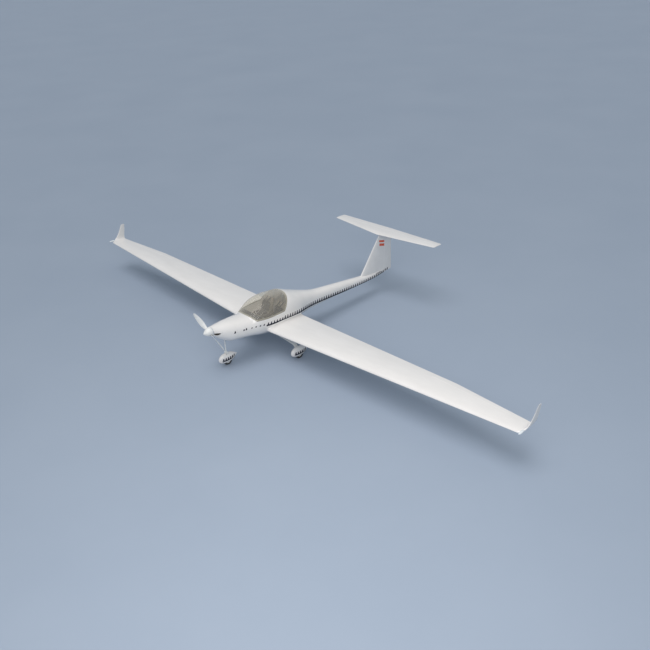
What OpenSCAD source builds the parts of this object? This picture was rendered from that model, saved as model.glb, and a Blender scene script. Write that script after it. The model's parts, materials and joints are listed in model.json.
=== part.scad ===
// Radio-controlled touring motor glider: low wing, T-tail, tricycle gear with spats.
// X points forward, Y to port and Z up. The wheels stand on z = 0, and the origin is
// halfway between the spinner's tip and the tail's trailing edge.

/* [Fuselage] */
// Half of the overall length: the tail ends twice this behind the spinner's tip
half_length = 607; // [600:1:615]
// Plane where the cowl ends and the spinner begins
cowl_front_x = 568; // [562:1:574]
// Joint between the cowl and the fuselage
cowl_joint_x = 470; // [460:1:480]
// Top of the windshield's front seam
windshield_x = 385; // [378:1:392]
// Height of the deck at the windshield's front seam
windshield_z = 205; // [202:1:210]
// Top of the canopy's rear seam
canopy_rear_x = 162; // [154:1:168]
// Height of the cockpit sill
sill_z = 185; // [181:1:189]
// Height of the canopy's highest point
canopy_top_z = 256.5; // [250:0.5:264]
// Greatest width of the cabin
cabin_w = 180; // [170:1:192]
// Width of the fuselage at the windshield seam
deck_w = 142; // [134:1:150]
// Height of the belly above the ground
belly_z = 82; // [78:1:85]
// Width of the tail boom at its middle
boom_w = 54; // [46:1:62]
// Height of the propeller's axis
thrust_z = 197; // [194:1:199]
// Wall of the fuselage and cowl mouldings
shell_t = 1.6; // [1.2:0.1:2.2]

/* [Canopy] */
// Wall of the canopy's glazing
glass_t = 1.2; // [0.8:0.1:1.6]
// Gap between the glazing and the fuselage
canopy_gap = 0.4; // [0.3:0.1:0.8]
// Width of the frame under the glazing's edge
frame_w = 6; // [5:0.5:8]
// Depth of that frame
frame_t = 2.2; // [1.6:0.1:2.6]
// Canopy hinge axis, distance ahead of the origin
canopy_hinge_x = 112; // [108:1:114]
// Canopy hinge axis, height
canopy_hinge_z = 205; // [203:1:207]
// Distance of each hinge arm from the centreline
canopy_arm_y = 30; // [26:1:34]
// Diameter of the canopy's hinge rod
hinge_rod_d = 3; // [2.5:0.5:3.5]

/* [Wing] */
// Distance from the centreline to the wing's tip rib
half_span = 1336; // [1290:2:1380]
// Leading edge at the centreline, ahead of the origin
wing_x = 329; // [324:1:334]
// Height of the wing's chord line at the centreline
wing_z = 124; // [121:1:127]
// Chord at the centreline
root_chord = 214; // [206:1:222]
// Distance from the centreline to the change of taper
break_y = 992; // [950:2:1040]
// Chord at the change of taper
break_chord = 137; // [130:1:144]
// Chord at the tip rib
tip_chord = 83; // [78:1:90]
// How far the leading edge runs aft at the tip
wing_sweep = 56; // [48:1:64]
// Dihedral angle of each panel
dihedral = 1.7; // [1.4:0.1:2]
// Distance from the centreline to the wing's root rib
root_y = 100; // [97:1:106]
// Thickness of the wing section at the root, as a share of the chord
root_tc = 0.14; // [0.135:0.005:0.15]
// Thickness of the wing section at the tip, as a share of the chord
tip_tc = 0.115; // [0.11:0.005:0.125]
// Wall of the hollow wing mouldings
wing_skin = 1.4; // [1.2:0.1:1.6]
// Diameter of the wing joiner rod
joiner_d = 10; // [9:0.5:10.5]
// How far the joiner reaches into each wing
joiner_reach = 150; // [120:5:160]
// Height of the blended winglets
winglet_h = 82; // [76:1:92]
// Length of the position lights at the wing tips
tip_light_l = 34; // [30:1:38]

/* [Ailerons] */
// Inner end of the ailerons
aileron_in_y = 890; // [870:5:910]
// Outer end of the ailerons, in from the wing's tip rib
aileron_out_y = 72; // [56:2:86]
// Aileron chord at the inner end
aileron_chord_in = 26; // [24:1:30]
// Aileron chord at the outer end
aileron_chord_out = 17; // [16:1:20]

/* [Tail] */
// Height of the tailplane's chord line
stab_z = 314; // [311:1:318]
// Distance from the centreline to the tailplane's tip
stab_half = 333; // [315:1:340]
// Leading edge of the tailplane at the centreline, ahead of the tail's end
stab_x = 112; // [107:1:117]
// Sweep of the tailplane's leading edge
stab_sweep = 45; // [40:1:50]
// Tailplane chord at the tip
stab_tip_chord = 61; // [57:1:66]
// Tailplane thickness as a share of its chord
stab_tc = 0.09; // [0.085:0.005:0.1]
// Distance from the tail's end to the elevator's hinge line
elevator_chord = 37; // [34:1:40]
// Width of the fixed tips outboard of the elevator
stab_cap = 16; // [13:1:20]
// Fin leading edge where it meets the boom, ahead of the tail's end
fin_x = 235; // [227:1:243]
// Fin leading edge at the tailplane, ahead of the tail's end
fin_top_x = 86; // [81:1:91]
// Fin and rudder thickness as a share of the chord
fin_tc = 0.09; // [0.085:0.005:0.095]
// Rudder hinge at the boom, ahead of the tail's end
rudder_x = 69; // [67:1:72]
// Rudder hinge at the tailplane, ahead of the tail's end
rudder_top_x = 51; // [48:1:53]

/* [Landing gear] */
// Radius of all three wheels
wheel_r = 22.5; // [21.5:0.5:23.5]
// Width of all three tyres
wheel_w = 12; // [11:0.5:13]
// Diameter of the axles
axle_d = 3; // [2.5:0.5:3.5]
// Nose wheel, ahead of the origin
nose_wheel_x = 501; // [497:1:503]
// How far the nose wheel trails its steering axis
nose_trail = 4; // [3:0.5:5]
// Diameter of the nose leg
nose_leg_d = 5; // [4.5:0.5:6]
// Main wheels, ahead of the origin
main_wheel_x = 250; // [246:1:254]
// Distance between the two main wheels
track = 401; // [390:1:412]
// Length of the wheel spats
spat_l = 98; // [92:1:104]
// Width of the wheel spats
spat_w = 29; // [28:0.5:31]
// Top of the wheel spats
spat_top_z = 60; // [58.5:0.5:61.5]
// Underside of the wheel spats
spat_low_z = 14; // [13:0.5:15]
// Wall of the wheel spats
spat_t = 1.2; // [1:0.1:1.4]
// Thickness of the main gear spring
gear_t = 3; // [2.5:0.5:3.5]

/* [Propeller] */
// Diameter of the propeller
prop_d = 230; // [220:1:240]
// Geometric pitch of the propeller
prop_pitch = 150; // [120:5:170]
// Angle at which the propeller stands, from port towards up
prop_rest = 152; // [140:1:165]
// Diameter of the spinner
spinner_d = 42; // [40:0.5:43]
// Length of the spinner ahead of its back plate
spinner_l = 36; // [34:0.5:38]
// Diameter of the motor's can
motor_d = 27; // [25:0.5:27.5]
// Diameter of the motor's shaft
shaft_d = 4; // [3.5:0.5:4.5]

/* [Control linkages] */
// Lever length of the rudder's horn
rudder_lever = 14; // [13:0.5:15]
// Lever length of the rudder servo and of the nose wheel's steering arm
steer_lever = 12; // [11.5:0.5:13]
// Lever length of the aileron and elevator horns and servo arms
flap_lever = 10; // [9.5:0.5:11]
// Diameter of the pushrods
rod_d = 1.6; // [1.4:0.1:2]
// Diameter of the pins on horns and servo arms
link_pin_d = 2; // [1.8:0.1:2.2]
// Radial play of a pushrod's eye on its pin
link_play = 0.75; // [0.7:0.05:0.9]
// Radial clearance of shafts and hinge pins in their bores
fit = 0.05; // [0.03:0.01:0.08]

/* [Hidden] */
$fn = 40;
gap = 0.3; // between pieces that only lie against each other
far = 400; // reach of cutting blocks beyond the part
ring_n = 36; // points round a fuselage section
foil_n = 12; // chordwise steps of a wing or tail section

// Sizes that several pieces share.
rod_z = 156; // height of the rods that leave the rudder servo
arm_t = 2; // servo arms
horn_t = 2; // control horns
stud_l = 4; // pins of horns and arms
stud_mid = 2.3; // from the plate to the middle of a pushrod's eye
pin_r = 0.75; // hinge pins
pin_l = 8; // reach of a hinge pin to either side
screw_r = 1.5; // belly screws
plate_x = cowl_front_x + 0.6;
plate_t = 2.4;
spinner_x = plate_x + plate_t;
tail_x = spinner_x + spinner_l - 2 * half_length; // trailing edge of the tail

white = [0.93, 0.94, 0.94];
plywood = [0.78, 0.62, 0.42];
steel = [0.62, 0.64, 0.67];
alloy = [0.78, 0.79, 0.81];
dark = [0.13, 0.13, 0.14];
carbon = [0.08, 0.08, 0.09];
navy = [0.07, 0.1, 0.25];
beige = [0.66, 0.6, 0.5];

// ---- curves and sections ----

function mix(a, b, t) = a + (b - a) * t;
function limit(v, a, b) = max(a, min(b, v));
function signed_pow(v, e) = sign(v) * pow(abs(v), e);

// A smooth curve through column c of a table whose first column rises.
function span_of(T, x) = max([0, for (k = [0:len(T) - 2]) if (T[k][0] <= x) k]);
function slope(T, i, c) =
    let (a = max(i - 1, 0), b = min(i + 1, len(T) - 1)) (T[b][c] - T[a][c]) / (T[b][0] - T[a][0]);
function curve(T, x, c) =
    let (i = span_of(T, x), h = T[i + 1][0] - T[i][0], t = (x - T[i][0]) / h)
    (2 * t ^ 3 - 3 * t ^ 2 + 1) * T[i][c] + (t ^ 3 - 2 * t ^ 2 + t) * h * slope(T, i, c)
    + (3 * t ^ 2 - 2 * t ^ 3) * T[i + 1][c] + (t ^ 3 - t ^ 2) * h * slope(T, i + 1, c);
function with_middles(T) =
    [for (i = [0:2 * len(T) - 2]) i % 2 == 0 ? T[i / 2][0] : (T[(i - 1) / 2][0] + T[(i + 1) / 2][0]) / 2];

// Fuselage stations: x, half width, top, bottom. The cabin ends at the windshield's
// seam, where the cowl begins, so the top line has a corner there.
tail_end_x = tail_x + rudder_x - 4;
boom_front_x = -38;
function boom_at(share) = mix(tail_end_x, boom_front_x, share);
cabin_x = 262;
BODY = [
    [tail_end_x, 8, 110, 87],
    [boom_at(1 / 7), boom_w / 2 - 10, 114.5, 84.5],
    [boom_at(11 / 36), boom_w / 2 - 5.5, 121, 84.5],
    [boom_at(41 / 72), boom_w / 2, 139, 88],
    [boom_at(101 / 126), boom_w / 2 + 5, 155.5, 91],
    [boom_front_x, boom_w / 2 + 12, 171, 93],
    [45, boom_w / 2 + 26, 198, 93],
    [112, cabin_w / 2 - 17, 224, belly_z + 6],
    [canopy_rear_x, cabin_w / 2 - 7, canopy_top_z - 12, belly_z + 2],
    [212, cabin_w / 2 - 1.5, canopy_top_z - 3.5, belly_z],
    [cabin_x, cabin_w / 2, canopy_top_z, belly_z],
    [312, cabin_w / 2 - 2, canopy_top_z - 7.5, belly_z + 6],
    [windshield_x - 35, (cabin_w + deck_w) / 4 - 0.5, mix(windshield_z, canopy_top_z, 0.47), belly_z + 14],
    [windshield_x, deck_w / 2, windshield_z, belly_z + 24]];
COWL = [
    [windshield_x, deck_w / 2, windshield_z, belly_z + 24],
    [windshield_x + 27, deck_w / 2 - 4, windshield_z + 2, belly_z + 29],
    [454, deck_w / 2 - 11, windshield_z + 6, belly_z + 35],
    [495, deck_w / 2 - 20, thrust_z + 17.5, belly_z + 42],
    [537, spinner_d / 2 + 16.5, thrust_z + 19.5, thrust_z - 49],
    [cowl_front_x, spinner_d / 2 + 0.5, thrust_z + spinner_d / 2, thrust_z - spinner_d / 2]];
body_x = with_middles(BODY);
cowl_x = with_middles(COWL);
fuselage_x = concat(body_x, [for (x = cowl_x) if (x > windshield_x && x < cowl_joint_x - 3) x],
    [cowl_joint_x]);
fuselage_inner_x = [for (x = fuselage_x) x == tail_end_x ? x - 1 : x == cowl_joint_x ? x + 1 : x];
cowl_only_x = concat([cowl_joint_x], [for (x = cowl_x) if (x > cowl_joint_x + 3) x]);
canopy_x = [for (x = body_x) if (x > canopy_rear_x - 30) x];

function table_at(x) = x <= windshield_x ? BODY : COWL;
function half_w(x) = curve(table_at(x), x, 1);
function top_z(x) = curve(table_at(x), x, 2);
function low_z(x) = curve(table_at(x), x, 3);
function mid_z(x) = mix(low_z(x), top_z(x), 0.46);
function roundness(x) = 2.3 - 0.3 * limit((x - 495) / (cowl_front_x - 495), 0, 1);
// One point of the section at x, d inside the skin, at angle a from port.
function section_point(x, d, a) =
    let (e = 2 / roundness(x), zc = mid_z(x), up = top_z(x) - d - zc, down = zc - low_z(x) - d)
    [x, (half_w(x) - d) * signed_pow(cos(a), e), zc + (sin(a) > 0 ? up : down) * signed_pow(sin(a), e)];
function section(x, d = 0) = [for (i = [0:ring_n - 1]) section_point(x, d, 360 * i / ring_n)];
function left_section(x) = [for (i = [0:ring_n / 2]) section_point(x, 0, 360 * i / ring_n - 90)];
// Half width of the section at x and height z, d inside the skin.
function side_y(x, z, d = 0) =
    let (zc = mid_z(x), h = z > zc ? top_z(x) - d - zc : zc - low_z(x) - d, k = abs(z - zc) / h)
    k >= 1 ? 0 : (half_w(x) - d) * pow(1 - pow(k, roundness(x)), 1 / roundness(x));

// Half thickness of a section of unit chord and thickness tc, at x behind its nose.
function half_thick(x, tc) =
    5 * tc * (0.2969 * sqrt(x) - 0.126 * x - 0.3516 * x ^ 2 + 0.2843 * x ^ 3 - 0.1015 * x ^ 4);
function chord_step(i, n) = (1 - cos(180 * i / n)) / 2;
// A closed section as [distance behind the nose, height]; camber 1 is symmetric.
function foil(chord, tc, camber = 1) = concat(
    [for (i = [foil_n:-1:1]) let (x = chord_step(i, foil_n)) chord * [x, camber * half_thick(x, tc)]],
    [for (i = [0:foil_n]) let (x = chord_step(i, foil_n)) chord * [x, (camber - 2) * half_thick(x, tc)]]);
// The hollow inside such a section, from share a to share b of the chord.
function foil_hollow(chord, tc, camber, skin, a, b) = concat(
    [for (i = [6:-1:0]) let (x = mix(a, b, i / 6)) [chord * x, chord * camber * half_thick(x, tc) - skin]],
    [for (i = [0:6]) let (x = mix(a, b, i / 6)) [chord * x,
        chord * (camber - 2) * half_thick(x, tc) + skin]]);

// ---- building blocks ----

// A straight solid between two rings of the same number of points.
module slab(a, b) {
    n = len(a);
    polyhedron(
        points = concat(a, b),
        faces = concat(
            [[for (i = [0:n - 1]) i]],
            [[for (i = [n - 1:-1:0]) n + i]],
            [for (i = [0:n - 1]) [i, n + i, n + (i + 1) % n, (i + 1) % n]]),
        convexity = 4);
}

// A body through convex rings, built one straight stretch at a time.
module skin(rings) {
    for (i = [0:len(rings) - 2]) hull() slab(rings[i], rings[i + 1]);
}

// Turns what follows so that its Z axis runs from p to q.
module aim(p, q) {
    v = q - p;
    translate(p) rotate([0, acos(v.z / norm(v)), atan2(v.y, v.x)]) children();
}
module bar(p, q, r) {
    aim(p, q) cylinder(h = norm(q - p), r = r, $fn = 24);
}
module bored_bar(p, q, r, bore) {
    difference() {
        bar(p, q, r);
        aim(p, q) translate([0, 0, -1]) cylinder(h = norm(q - p) + 2, r = bore, $fn = 24);
    }
}
// A flat outline in X and Z, t thick, centred on y.
module side_plate(y, t) {
    translate([0, y + t / 2, 0]) rotate([90, 0, 0]) linear_extrude(t) children();
}
module box(low, high) {
    translate(low) cube(high - low);
}
module both_sides() {
    children();
    mirror([0, 1, 0]) children();
}

// ---- fuselage ----

front_rake = 0.82; // the windshield seam leans back this much for each unit down
rear_rake = 0.95; // the canopy's rear seam leans forward this much for each unit down
canopy_rear_z = canopy_top_z - 12;
seam_in = 0.3; // the seams lie this far inside the corners of the fuselage's outline
function front_seam_x(z) = windshield_x - seam_in - (windshield_z - z) * front_rake;
function rear_seam_x(z) = canopy_rear_x + seam_in + (canopy_rear_z - z) * rear_rake;

// The space of the canopy, drawn in by d from its seams.
module canopy_space(d) {
    side_plate(0, far) offset(delta = -d) polygon([
        [rear_seam_x(sill_z), sill_z],
        [front_seam_x(sill_z), sill_z],
        [front_seam_x(canopy_top_z + 20), canopy_top_z + 20],
        [rear_seam_x(canopy_top_z + 20), canopy_top_z + 20]]);
}

// Moulded wing root: the wing's own section, drawn out aft where it meets the body.
root_flare = 22;
function root_section(y, grow) =
    let (le = wing_le(y), c = wing_chord(y) + root_flare * grow ^ 2)
    [for (p = foil(c, wing_tc(y) * (1 + 0.12 * grow), wing_camber)) [le - p.x, y, wing_mid(y) + p.y]];
module root_moulding() {
    skin([for (k = [0:4]) root_section(mix(root_y, 50, k / 4), k / 4)]);
}
module root_hollow() {
    skin([for (y = [40, root_y - 2]) wing_hollow_ring(y)]);
}

belly_screws = [[main_wheel_x - 7, 12], [main_wheel_x + 7, 12]];
module fuselage_half(side) {
    difference() {
        union() {
            skin([for (x = fuselage_x) left_section(x)]);
            root_moulding();
        }
        skin([for (x = fuselage_inner_x) section(x, shell_t)]);
        canopy_space(0);
        root_hollow();
        bar([joiner_x, root_y - 4, joiner_z], [joiner_x, root_y + 2, joiner_z], joiner_d / 2 + fit);
        for (s = belly_screws) bar([s.x, s.y, belly_z - 5], [s.x, s.y, belly_z + 12], screw_r + 0.2);
        rudder_room(0.5);
        bar(rudder_pin_foot, rudder_foot, pin_r);
        if (side > 0) rudder_rod_slot();
        if (side > 0) bar(rudder_at(rudder_horn_z - 1), rudder_at(rudder_horn_z + horn_t + 1), 11.5);
    }
}
module fuselage_left() {
    color(white) fuselage_half(1);
}
module fuselage_right() {
    color(white) mirror([0, 1, 0]) fuselage_half(-1);
}
// Where the rudder's pushrod leaves the boom on the port side.
module rudder_rod_slot() {
    hull() for (t = [0.93, 0.975])
        translate(mix(rudder_rod_front, rudder_rod_rear, t)) rotate([90, 0, 0])
            cylinder(h = 24, r = rod_d / 2 + 1, center = true, $fn = 20);
}

module engine_cowl() {
    front_wall = cowl_front_x - 2;
    color(white) difference() {
        skin([for (x = cowl_only_x) section(x == cowl_joint_x ? x + gap : x)]);
        skin([for (x = cowl_only_x) section(x == cowl_joint_x ? x - 1 : min(x, front_wall), shell_t)]);
        bar([front_wall - 2, 0, thrust_z], [cowl_front_x + 2, 0, thrust_z], spinner_d / 2 - 5);
        bar([steer_x, 0, low_z(steer_x) - 8], [steer_x, 0, low_z(steer_x) + 12], nose_leg_d / 2 + 0.7);
        // cooling inlets beside the spinner
        both_sides() translate([cowl_front_x - 16, spinner_d / 2 + 6, thrust_z - 11])
            rotate([0, 90, -20]) scale([1, 0.7, 1]) cylinder(h = 40, r = 6, center = true);
        // cooling outlet behind the nose leg
        translate([cowl_joint_x + 14, 0, low_z(cowl_joint_x + 14)]) cube([16, 36, 12], center = true);
    }
}

// ---- firewall, motor and equipment ----

firewall_t = 3;
firewall_x = cowl_joint_x - 1; // front face
module firewall() {
    color(plywood) difference() {
        skin([section(firewall_x - firewall_t, shell_t + 0.1), section(firewall_x, shell_t + 0.1)]);
        bar([firewall_x - 5, steer_lever, rod_z], [firewall_x + 2, steer_lever, rod_z], rod_d / 2 + 2);
        for (a = [45:90:315]) translate([firewall_x - 5, 0, thrust_z]) rotate([a, 0, 0])
            translate([0, 8, 0]) rotate([0, 90, 0]) cylinder(h = 8, r = 1.5);
    }
}

stator_x = firewall_x + 37;
can_x = stator_x + 2;
can_l = 40;
can_t = 1.2;
module motor_base() {
    color(dark) difference() {
        union() {
            bar([firewall_x, 0, thrust_z], [firewall_x + 3, 0, thrust_z], 12);
            bar([firewall_x + 3, 0, thrust_z], [stator_x, 0, thrust_z], 8);
            bar([stator_x, 0, thrust_z], [can_x + can_l - 6, 0, thrust_z], motor_d / 2 - can_t - 0.5);
        }
        bar([firewall_x + 15, 0, thrust_z], [can_x + can_l, 0, thrust_z], shaft_d / 2 + fit);
    }
}
shaft_front_x = cowl_front_x + 26;
module motor_rotor() {
    color(steel) difference() {
        union() {
            bar([can_x, 0, thrust_z], [can_x + can_l, 0, thrust_z], motor_d / 2);
            bar([firewall_x + 18, 0, thrust_z], [shaft_front_x, 0, thrust_z], shaft_d / 2);
        }
        difference() {
            bar([can_x - 1, 0, thrust_z], [can_x + can_l - 3, 0, thrust_z], motor_d / 2 - can_t);
            bar([can_x - 2, 0, thrust_z], [can_x + can_l, 0, thrust_z], shaft_d / 2);
        }
        for (a = [0:60:300]) translate([can_x + can_l - 4, 0, thrust_z]) rotate([a, 0, 0])
            translate([0, motor_d / 2 - 5.5, 0]) rotate([0, 90, 0]) cylinder(h = 6, r = 2);
    }
}

weight_l = 30;
weight_gap = 20; // inner half width, clear of the nose gear bracket
module nose_weight() {
    color(steel) translate([firewall_x, 0, 0]) {
        both_sides() box([0, weight_gap, bracket_low_z + 4], [weight_l, weight_gap + 11, thrust_z - 19]);
        box([0, -weight_gap, rod_z + 6], [weight_l, weight_gap, thrust_z - 19]);
    }
}

tray_z = 130;
tray_t = 3;
shelf_z = rod_z + 4.5;
shelf_t = 2;
tray_rear_x = 376;
tray_half = 36;
module equipment_tray() {
    color(plywood) difference() {
        union() {
            box([tray_rear_x, -tray_half, tray_z], [firewall_x - firewall_t, tray_half, tray_z + tray_t]);
            box([tray_rear_x + 12, -tray_half, shelf_z],
                [firewall_x - firewall_t, tray_half, shelf_z + shelf_t]);
            both_sides() box([tray_rear_x + 12, tray_half - 2, tray_z],
                [firewall_x - firewall_t, tray_half, shelf_z + 1]);
        }
        for (x = [tray_rear_x + 28, tray_rear_x + 52, tray_rear_x + 74])
            translate([x, 0, tray_z + 17]) rotate([90, 0, 0]) cylinder(h = 100, r = 8, center = true);
    }
}

servo_axis_x = 395;
servo_top_z = rod_z - stud_mid - arm_t - 0.2;
// A small servo standing on its base, output shaft at the origin pointing up.
module servo(h) {
    difference() {
        union() {
            box([-17, -6, -h], [6, 6, 0]);
            box([-22, -6, -5], [11, 6, -3.5]);
        }
        for (x = [-20, 9]) translate([x, 0, -6]) cylinder(h = 4, r = 1, $fn = 20);
    }
    cylinder(h = 1.2, r = 5, $fn = 24);
}
module rudder_servo() {
    color(dark) translate([servo_axis_x, 0, servo_top_z - 1.2]) rotate(180)
        servo(servo_top_z - 1.2 - tray_z - tray_t);
}

module battery_pack() {
    low = [tray_rear_x + 14, -28, shelf_z + shelf_t];
    high = [firewall_x - firewall_t - 3, 28, windshield_z - 9];
    color(navy) difference() {
        box(low, high);
        for (z = [mix(low.z, high.z, 0.33), mix(low.z, high.z, 0.66)]) both_sides()
            translate([(low.x + high.x) / 2, high.y, z]) cube([far, 1.2, 1.2], center = true);
    }
}
module electronics() {
    color(dark) {
        // receiver on the tray
        box([servo_axis_x + 28, -13, tray_z + tray_t], [servo_axis_x + 60, 13, tray_z + tray_t + 13]);
        // speed controller below it, with its cooling fins
        box([servo_axis_x + 8, -15, tray_z - 8], [servo_axis_x + 58, 15, tray_z]);
        for (y = [-12:6:12]) box([servo_axis_x + 12, y - 1, tray_z - 10],
            [servo_axis_x + 54, y + 1, tray_z - 7]);
    }
}

// ---- cockpit ----

floor_z = 112;
floor_x = [for (x = [170:25:370]) x];
module cockpit_floor() {
    edge = [for (x = floor_x) [x, side_y(x, floor_z, shell_t) - 0.5]];
    color(plywood) difference() {
        translate([0, 0, floor_z]) linear_extrude(2) polygon(concat(edge,
            [for (i = [len(edge) - 1:-1:0]) [edge[i].x, -edge[i].y]]));
        for (x = [190:40:350]) translate([x, 0, floor_z - 1]) cylinder(h = 4, r = 9);
    }
}

seat_in = 15;
seat_out = 72;
seat_front_x = 292;
seat_back_x = 214;
module seats() {
    color(beige) difference() {
        both_sides() translate([0, seat_out, 0]) rotate([90, 0, 0]) linear_extrude(seat_out - seat_in)
            offset(r = 2) offset(r = -2) polygon([
                [seat_back_x - 2, floor_z + 2], [seat_front_x - 8, floor_z + 2],
                    [seat_front_x, floor_z + 12],
                [seat_front_x + 2, joiner_z + 14], [seat_front_x - 8, joiner_z + 18],
                    [seat_back_x + 16, joiner_z + 12],
                [seat_back_x - 6, sill_z + 6], [seat_back_x - 16, sill_z + 24],
                    [seat_back_x - 22, sill_z + 22],
                [seat_back_x - 14, sill_z - 4]]);
        bar([joiner_x, -far, joiner_z], [joiner_x, far, joiner_z], joiner_d / 2 + 1.2 + gap);
    }
}

panel_x = 350;
module instrument_panel() {
    color(dark) {
        difference() {
            intersection() {
                side_plate(0, 118) polygon([
                    [panel_x, rod_z + 8], [panel_x + 4, rod_z + 8], [panel_x + 6, sill_z + 1],
                    [front_seam_x(sill_z + 4) - 8, sill_z + 3], [front_seam_x(sill_z + 4) - 8, sill_z + 6],
                    [panel_x - 12, sill_z + 9], [panel_x - 12, sill_z + 6], [panel_x, sill_z + 4]]);
                skin([section(panel_x - 16, shell_t + 4), section(panel_x + 22, shell_t + 4)]);
            }
            for (y = [-32, -12, 12, 32]) translate([panel_x - 1, y, sill_z - 6]) rotate([0, 90, 0])
                cylinder(h = 2.2, r = 6);
        }
        // posts that stand on the floor
        both_sides() box([panel_x, 38, floor_z + 2], [panel_x + 4, 42, rod_z + 9]);
    }
}

// ---- canopy ----

hinge_rod_half = side_y(canopy_hinge_x, canopy_hinge_z + hinge_rod_d / 2, shell_t) - 0.1;
module canopy_hinge_rod() {
    color(steel) bar([canopy_hinge_x, -hinge_rod_half, canopy_hinge_z],
        [canopy_hinge_x, hinge_rod_half, canopy_hinge_z], hinge_rod_d / 2);
}
module canopy_glass() {
    color([0.6, 0.62, 0.62, 0.45]) intersection() {
        difference() {
            skin([for (x = canopy_x) section(x)]);
            skin([for (x = canopy_x) section(x, glass_t)]);
        }
        canopy_space(canopy_gap);
    }
}
module canopy_frame() {
    color(beige) intersection() {
        difference() {
            skin([for (x = canopy_x) section(x, glass_t + 0.1)]);
            skin([for (x = canopy_x) section(x, glass_t + 0.1 + frame_t)]);
        }
        difference() {
            canopy_space(canopy_gap + 0.1);
            canopy_space(canopy_gap + 0.1 + frame_w);
        }
    }
}
// Swan-neck arms reach round the deck's rear edge.
arm_in_r = 68.5;
arm_out_r = 73.5;
arm_low = -16;
arm_high = 30;
module canopy_arms() {
    color(alloy) both_sides() translate([canopy_hinge_x, 0, canopy_hinge_z]) difference() {
        side_plate(canopy_arm_y, 4) {
            circle(r = 4.5, $fn = 32);
            rotate(arm_low) translate([0, -2.5]) square([arm_out_r - 0.6, 5]);
            polygon(concat(
                [for (a = [arm_low:4:arm_high]) arm_out_r * [cos(a), sin(a)]],
                [for (a = [arm_high:-4:arm_low]) arm_in_r * [cos(a), sin(a)]]));
        }
        rotate([90, 0, 0]) cylinder(h = far, r = hinge_rod_d / 2 + fit, center = true, $fn = 32);
    }
}

// ---- wings ----

wing_camber = 1.25;
tip_gap = 0.2;
function wing_le(y) = wing_x - wing_sweep * y / half_span;
function wing_chord(y) = y < break_y ? mix(root_chord, break_chord, y / break_y)
    : mix(break_chord, tip_chord, (y - break_y) / (half_span - break_y));
function outer_at(share) = mix(break_y, half_span, share);
function wing_te(y) = wing_le(y) - wing_chord(y);
function wing_tc(y) = mix(root_tc, tip_tc, y / half_span);
function wing_mid(y) = wing_z + y * tan(dihedral);
function wing_ring(y) = [for (p = foil(wing_chord(y), wing_tc(y), wing_camber)) [wing_le(y) - p.x, y,
    wing_mid(y) + p.y]];
hollow_from = 0.05;
hollow_to = 0.74;
function wing_hollow_ring(y) = [for (p = foil_hollow(wing_chord(y), wing_tc(y), wing_camber, wing_skin,
    hollow_from, hollow_to))
    [wing_le(y) - p.x, y, wing_mid(y) + p.y]];

joiner_tip = root_y + joiner_reach;
joiner_x = wing_x - 0.28 * root_chord;
joiner_z = wing_mid((root_y + joiner_tip) / 2) + 3;
module wing_joiner() {
    color(carbon) bar([joiner_x, -joiner_tip, joiner_z], [joiner_x, joiner_tip, joiner_z], joiner_d / 2);
}
module joiner_sleeves() {
    r = joiner_d / 2 + 1.2;
    color(alloy) {
        bored_bar([joiner_x, 2.5 - root_y, joiner_z], [joiner_x, root_y - 2.5, joiner_z], r,
            joiner_d / 2 + fit);
        both_sides() bored_bar([joiner_x, root_y + 3, joiner_z], [joiner_x, joiner_tip + 4, joiner_z], r,
            joiner_d / 2 + fit);
    }
}

// Section of a hinged surface as [distance behind the hinge, height]: a round nose about
// the hinge, then the rear of the section it belongs to.
function flap_share(c, hc) = 1 - hc / c;
function flap_r(c, tc, hc) = c * half_thick(flap_share(c, hc), tc);
function flap(c, tc, camber, hc) =
    let (s = flap_share(c, hc), r = flap_r(c, tc, hc), m = (camber - 1) * r)
    concat(
        [for (a = [90:-30:-90]) [-r * cos(a), m + r * sin(a)]],
        [for (k = [1:3]) [hc * k / 3, (camber - 2) * c * half_thick(mix(s, 1, k / 3), tc)]],
        [for (k = [3:-1:1]) [hc * k / 3, camber * c * half_thick(mix(s, 1, k / 3), tc)]]);

aileron_end_y = half_span - aileron_out_y;
aileron_in_x = wing_te(aileron_in_y) + aileron_chord_in;
aileron_out_x = wing_te(aileron_end_y) + aileron_chord_out;
function aileron_x(y) = mix(aileron_in_x, aileron_out_x,
    (y - aileron_in_y) / (aileron_end_y - aileron_in_y));
function aileron_r(y) = flap_r(wing_chord(y), wing_tc(y), aileron_x(y) - wing_te(y));
function aileron_axis_end(y) = [aileron_x(y), y, wing_mid(y) + (wing_camber - 1) * aileron_r(y)];
aileron_root = aileron_axis_end(aileron_in_y);
aileron_tip = aileron_axis_end(aileron_end_y);
function aileron_at(y) = mix(aileron_root, aileron_tip,
    (y - aileron_in_y) / (aileron_end_y - aileron_in_y));
function aileron_ring(y) = [for (p = flap(wing_chord(y), wing_tc(y), wing_camber,
    aileron_x(y) - wing_te(y)))
    [aileron_x(y) - p.x, y, wing_mid(y) + p.y]];
function round_ring(c, r, n = 20) = [for (i = [0:n - 1]) c + r * [cos(360 * i / n), 0, sin(360 * i / n)]];
module aileron_room() {
    stations = [aileron_in_y, break_y, aileron_end_y];
    skin([for (y = stations) round_ring(aileron_axis_end(y), aileron_r(y) + 0.4)]);
    skin([for (y = stations) let (r = aileron_r(y), x = aileron_x(y), z = aileron_axis_end(y).z)
        [[x + 0.4 * r + 0.4, y, z + 20], [x + 0.4 * r + 0.4, y, z - 20],
         [x - 60, y, z - 20], [x - 60, y, z + 20]]]);
}

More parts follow.
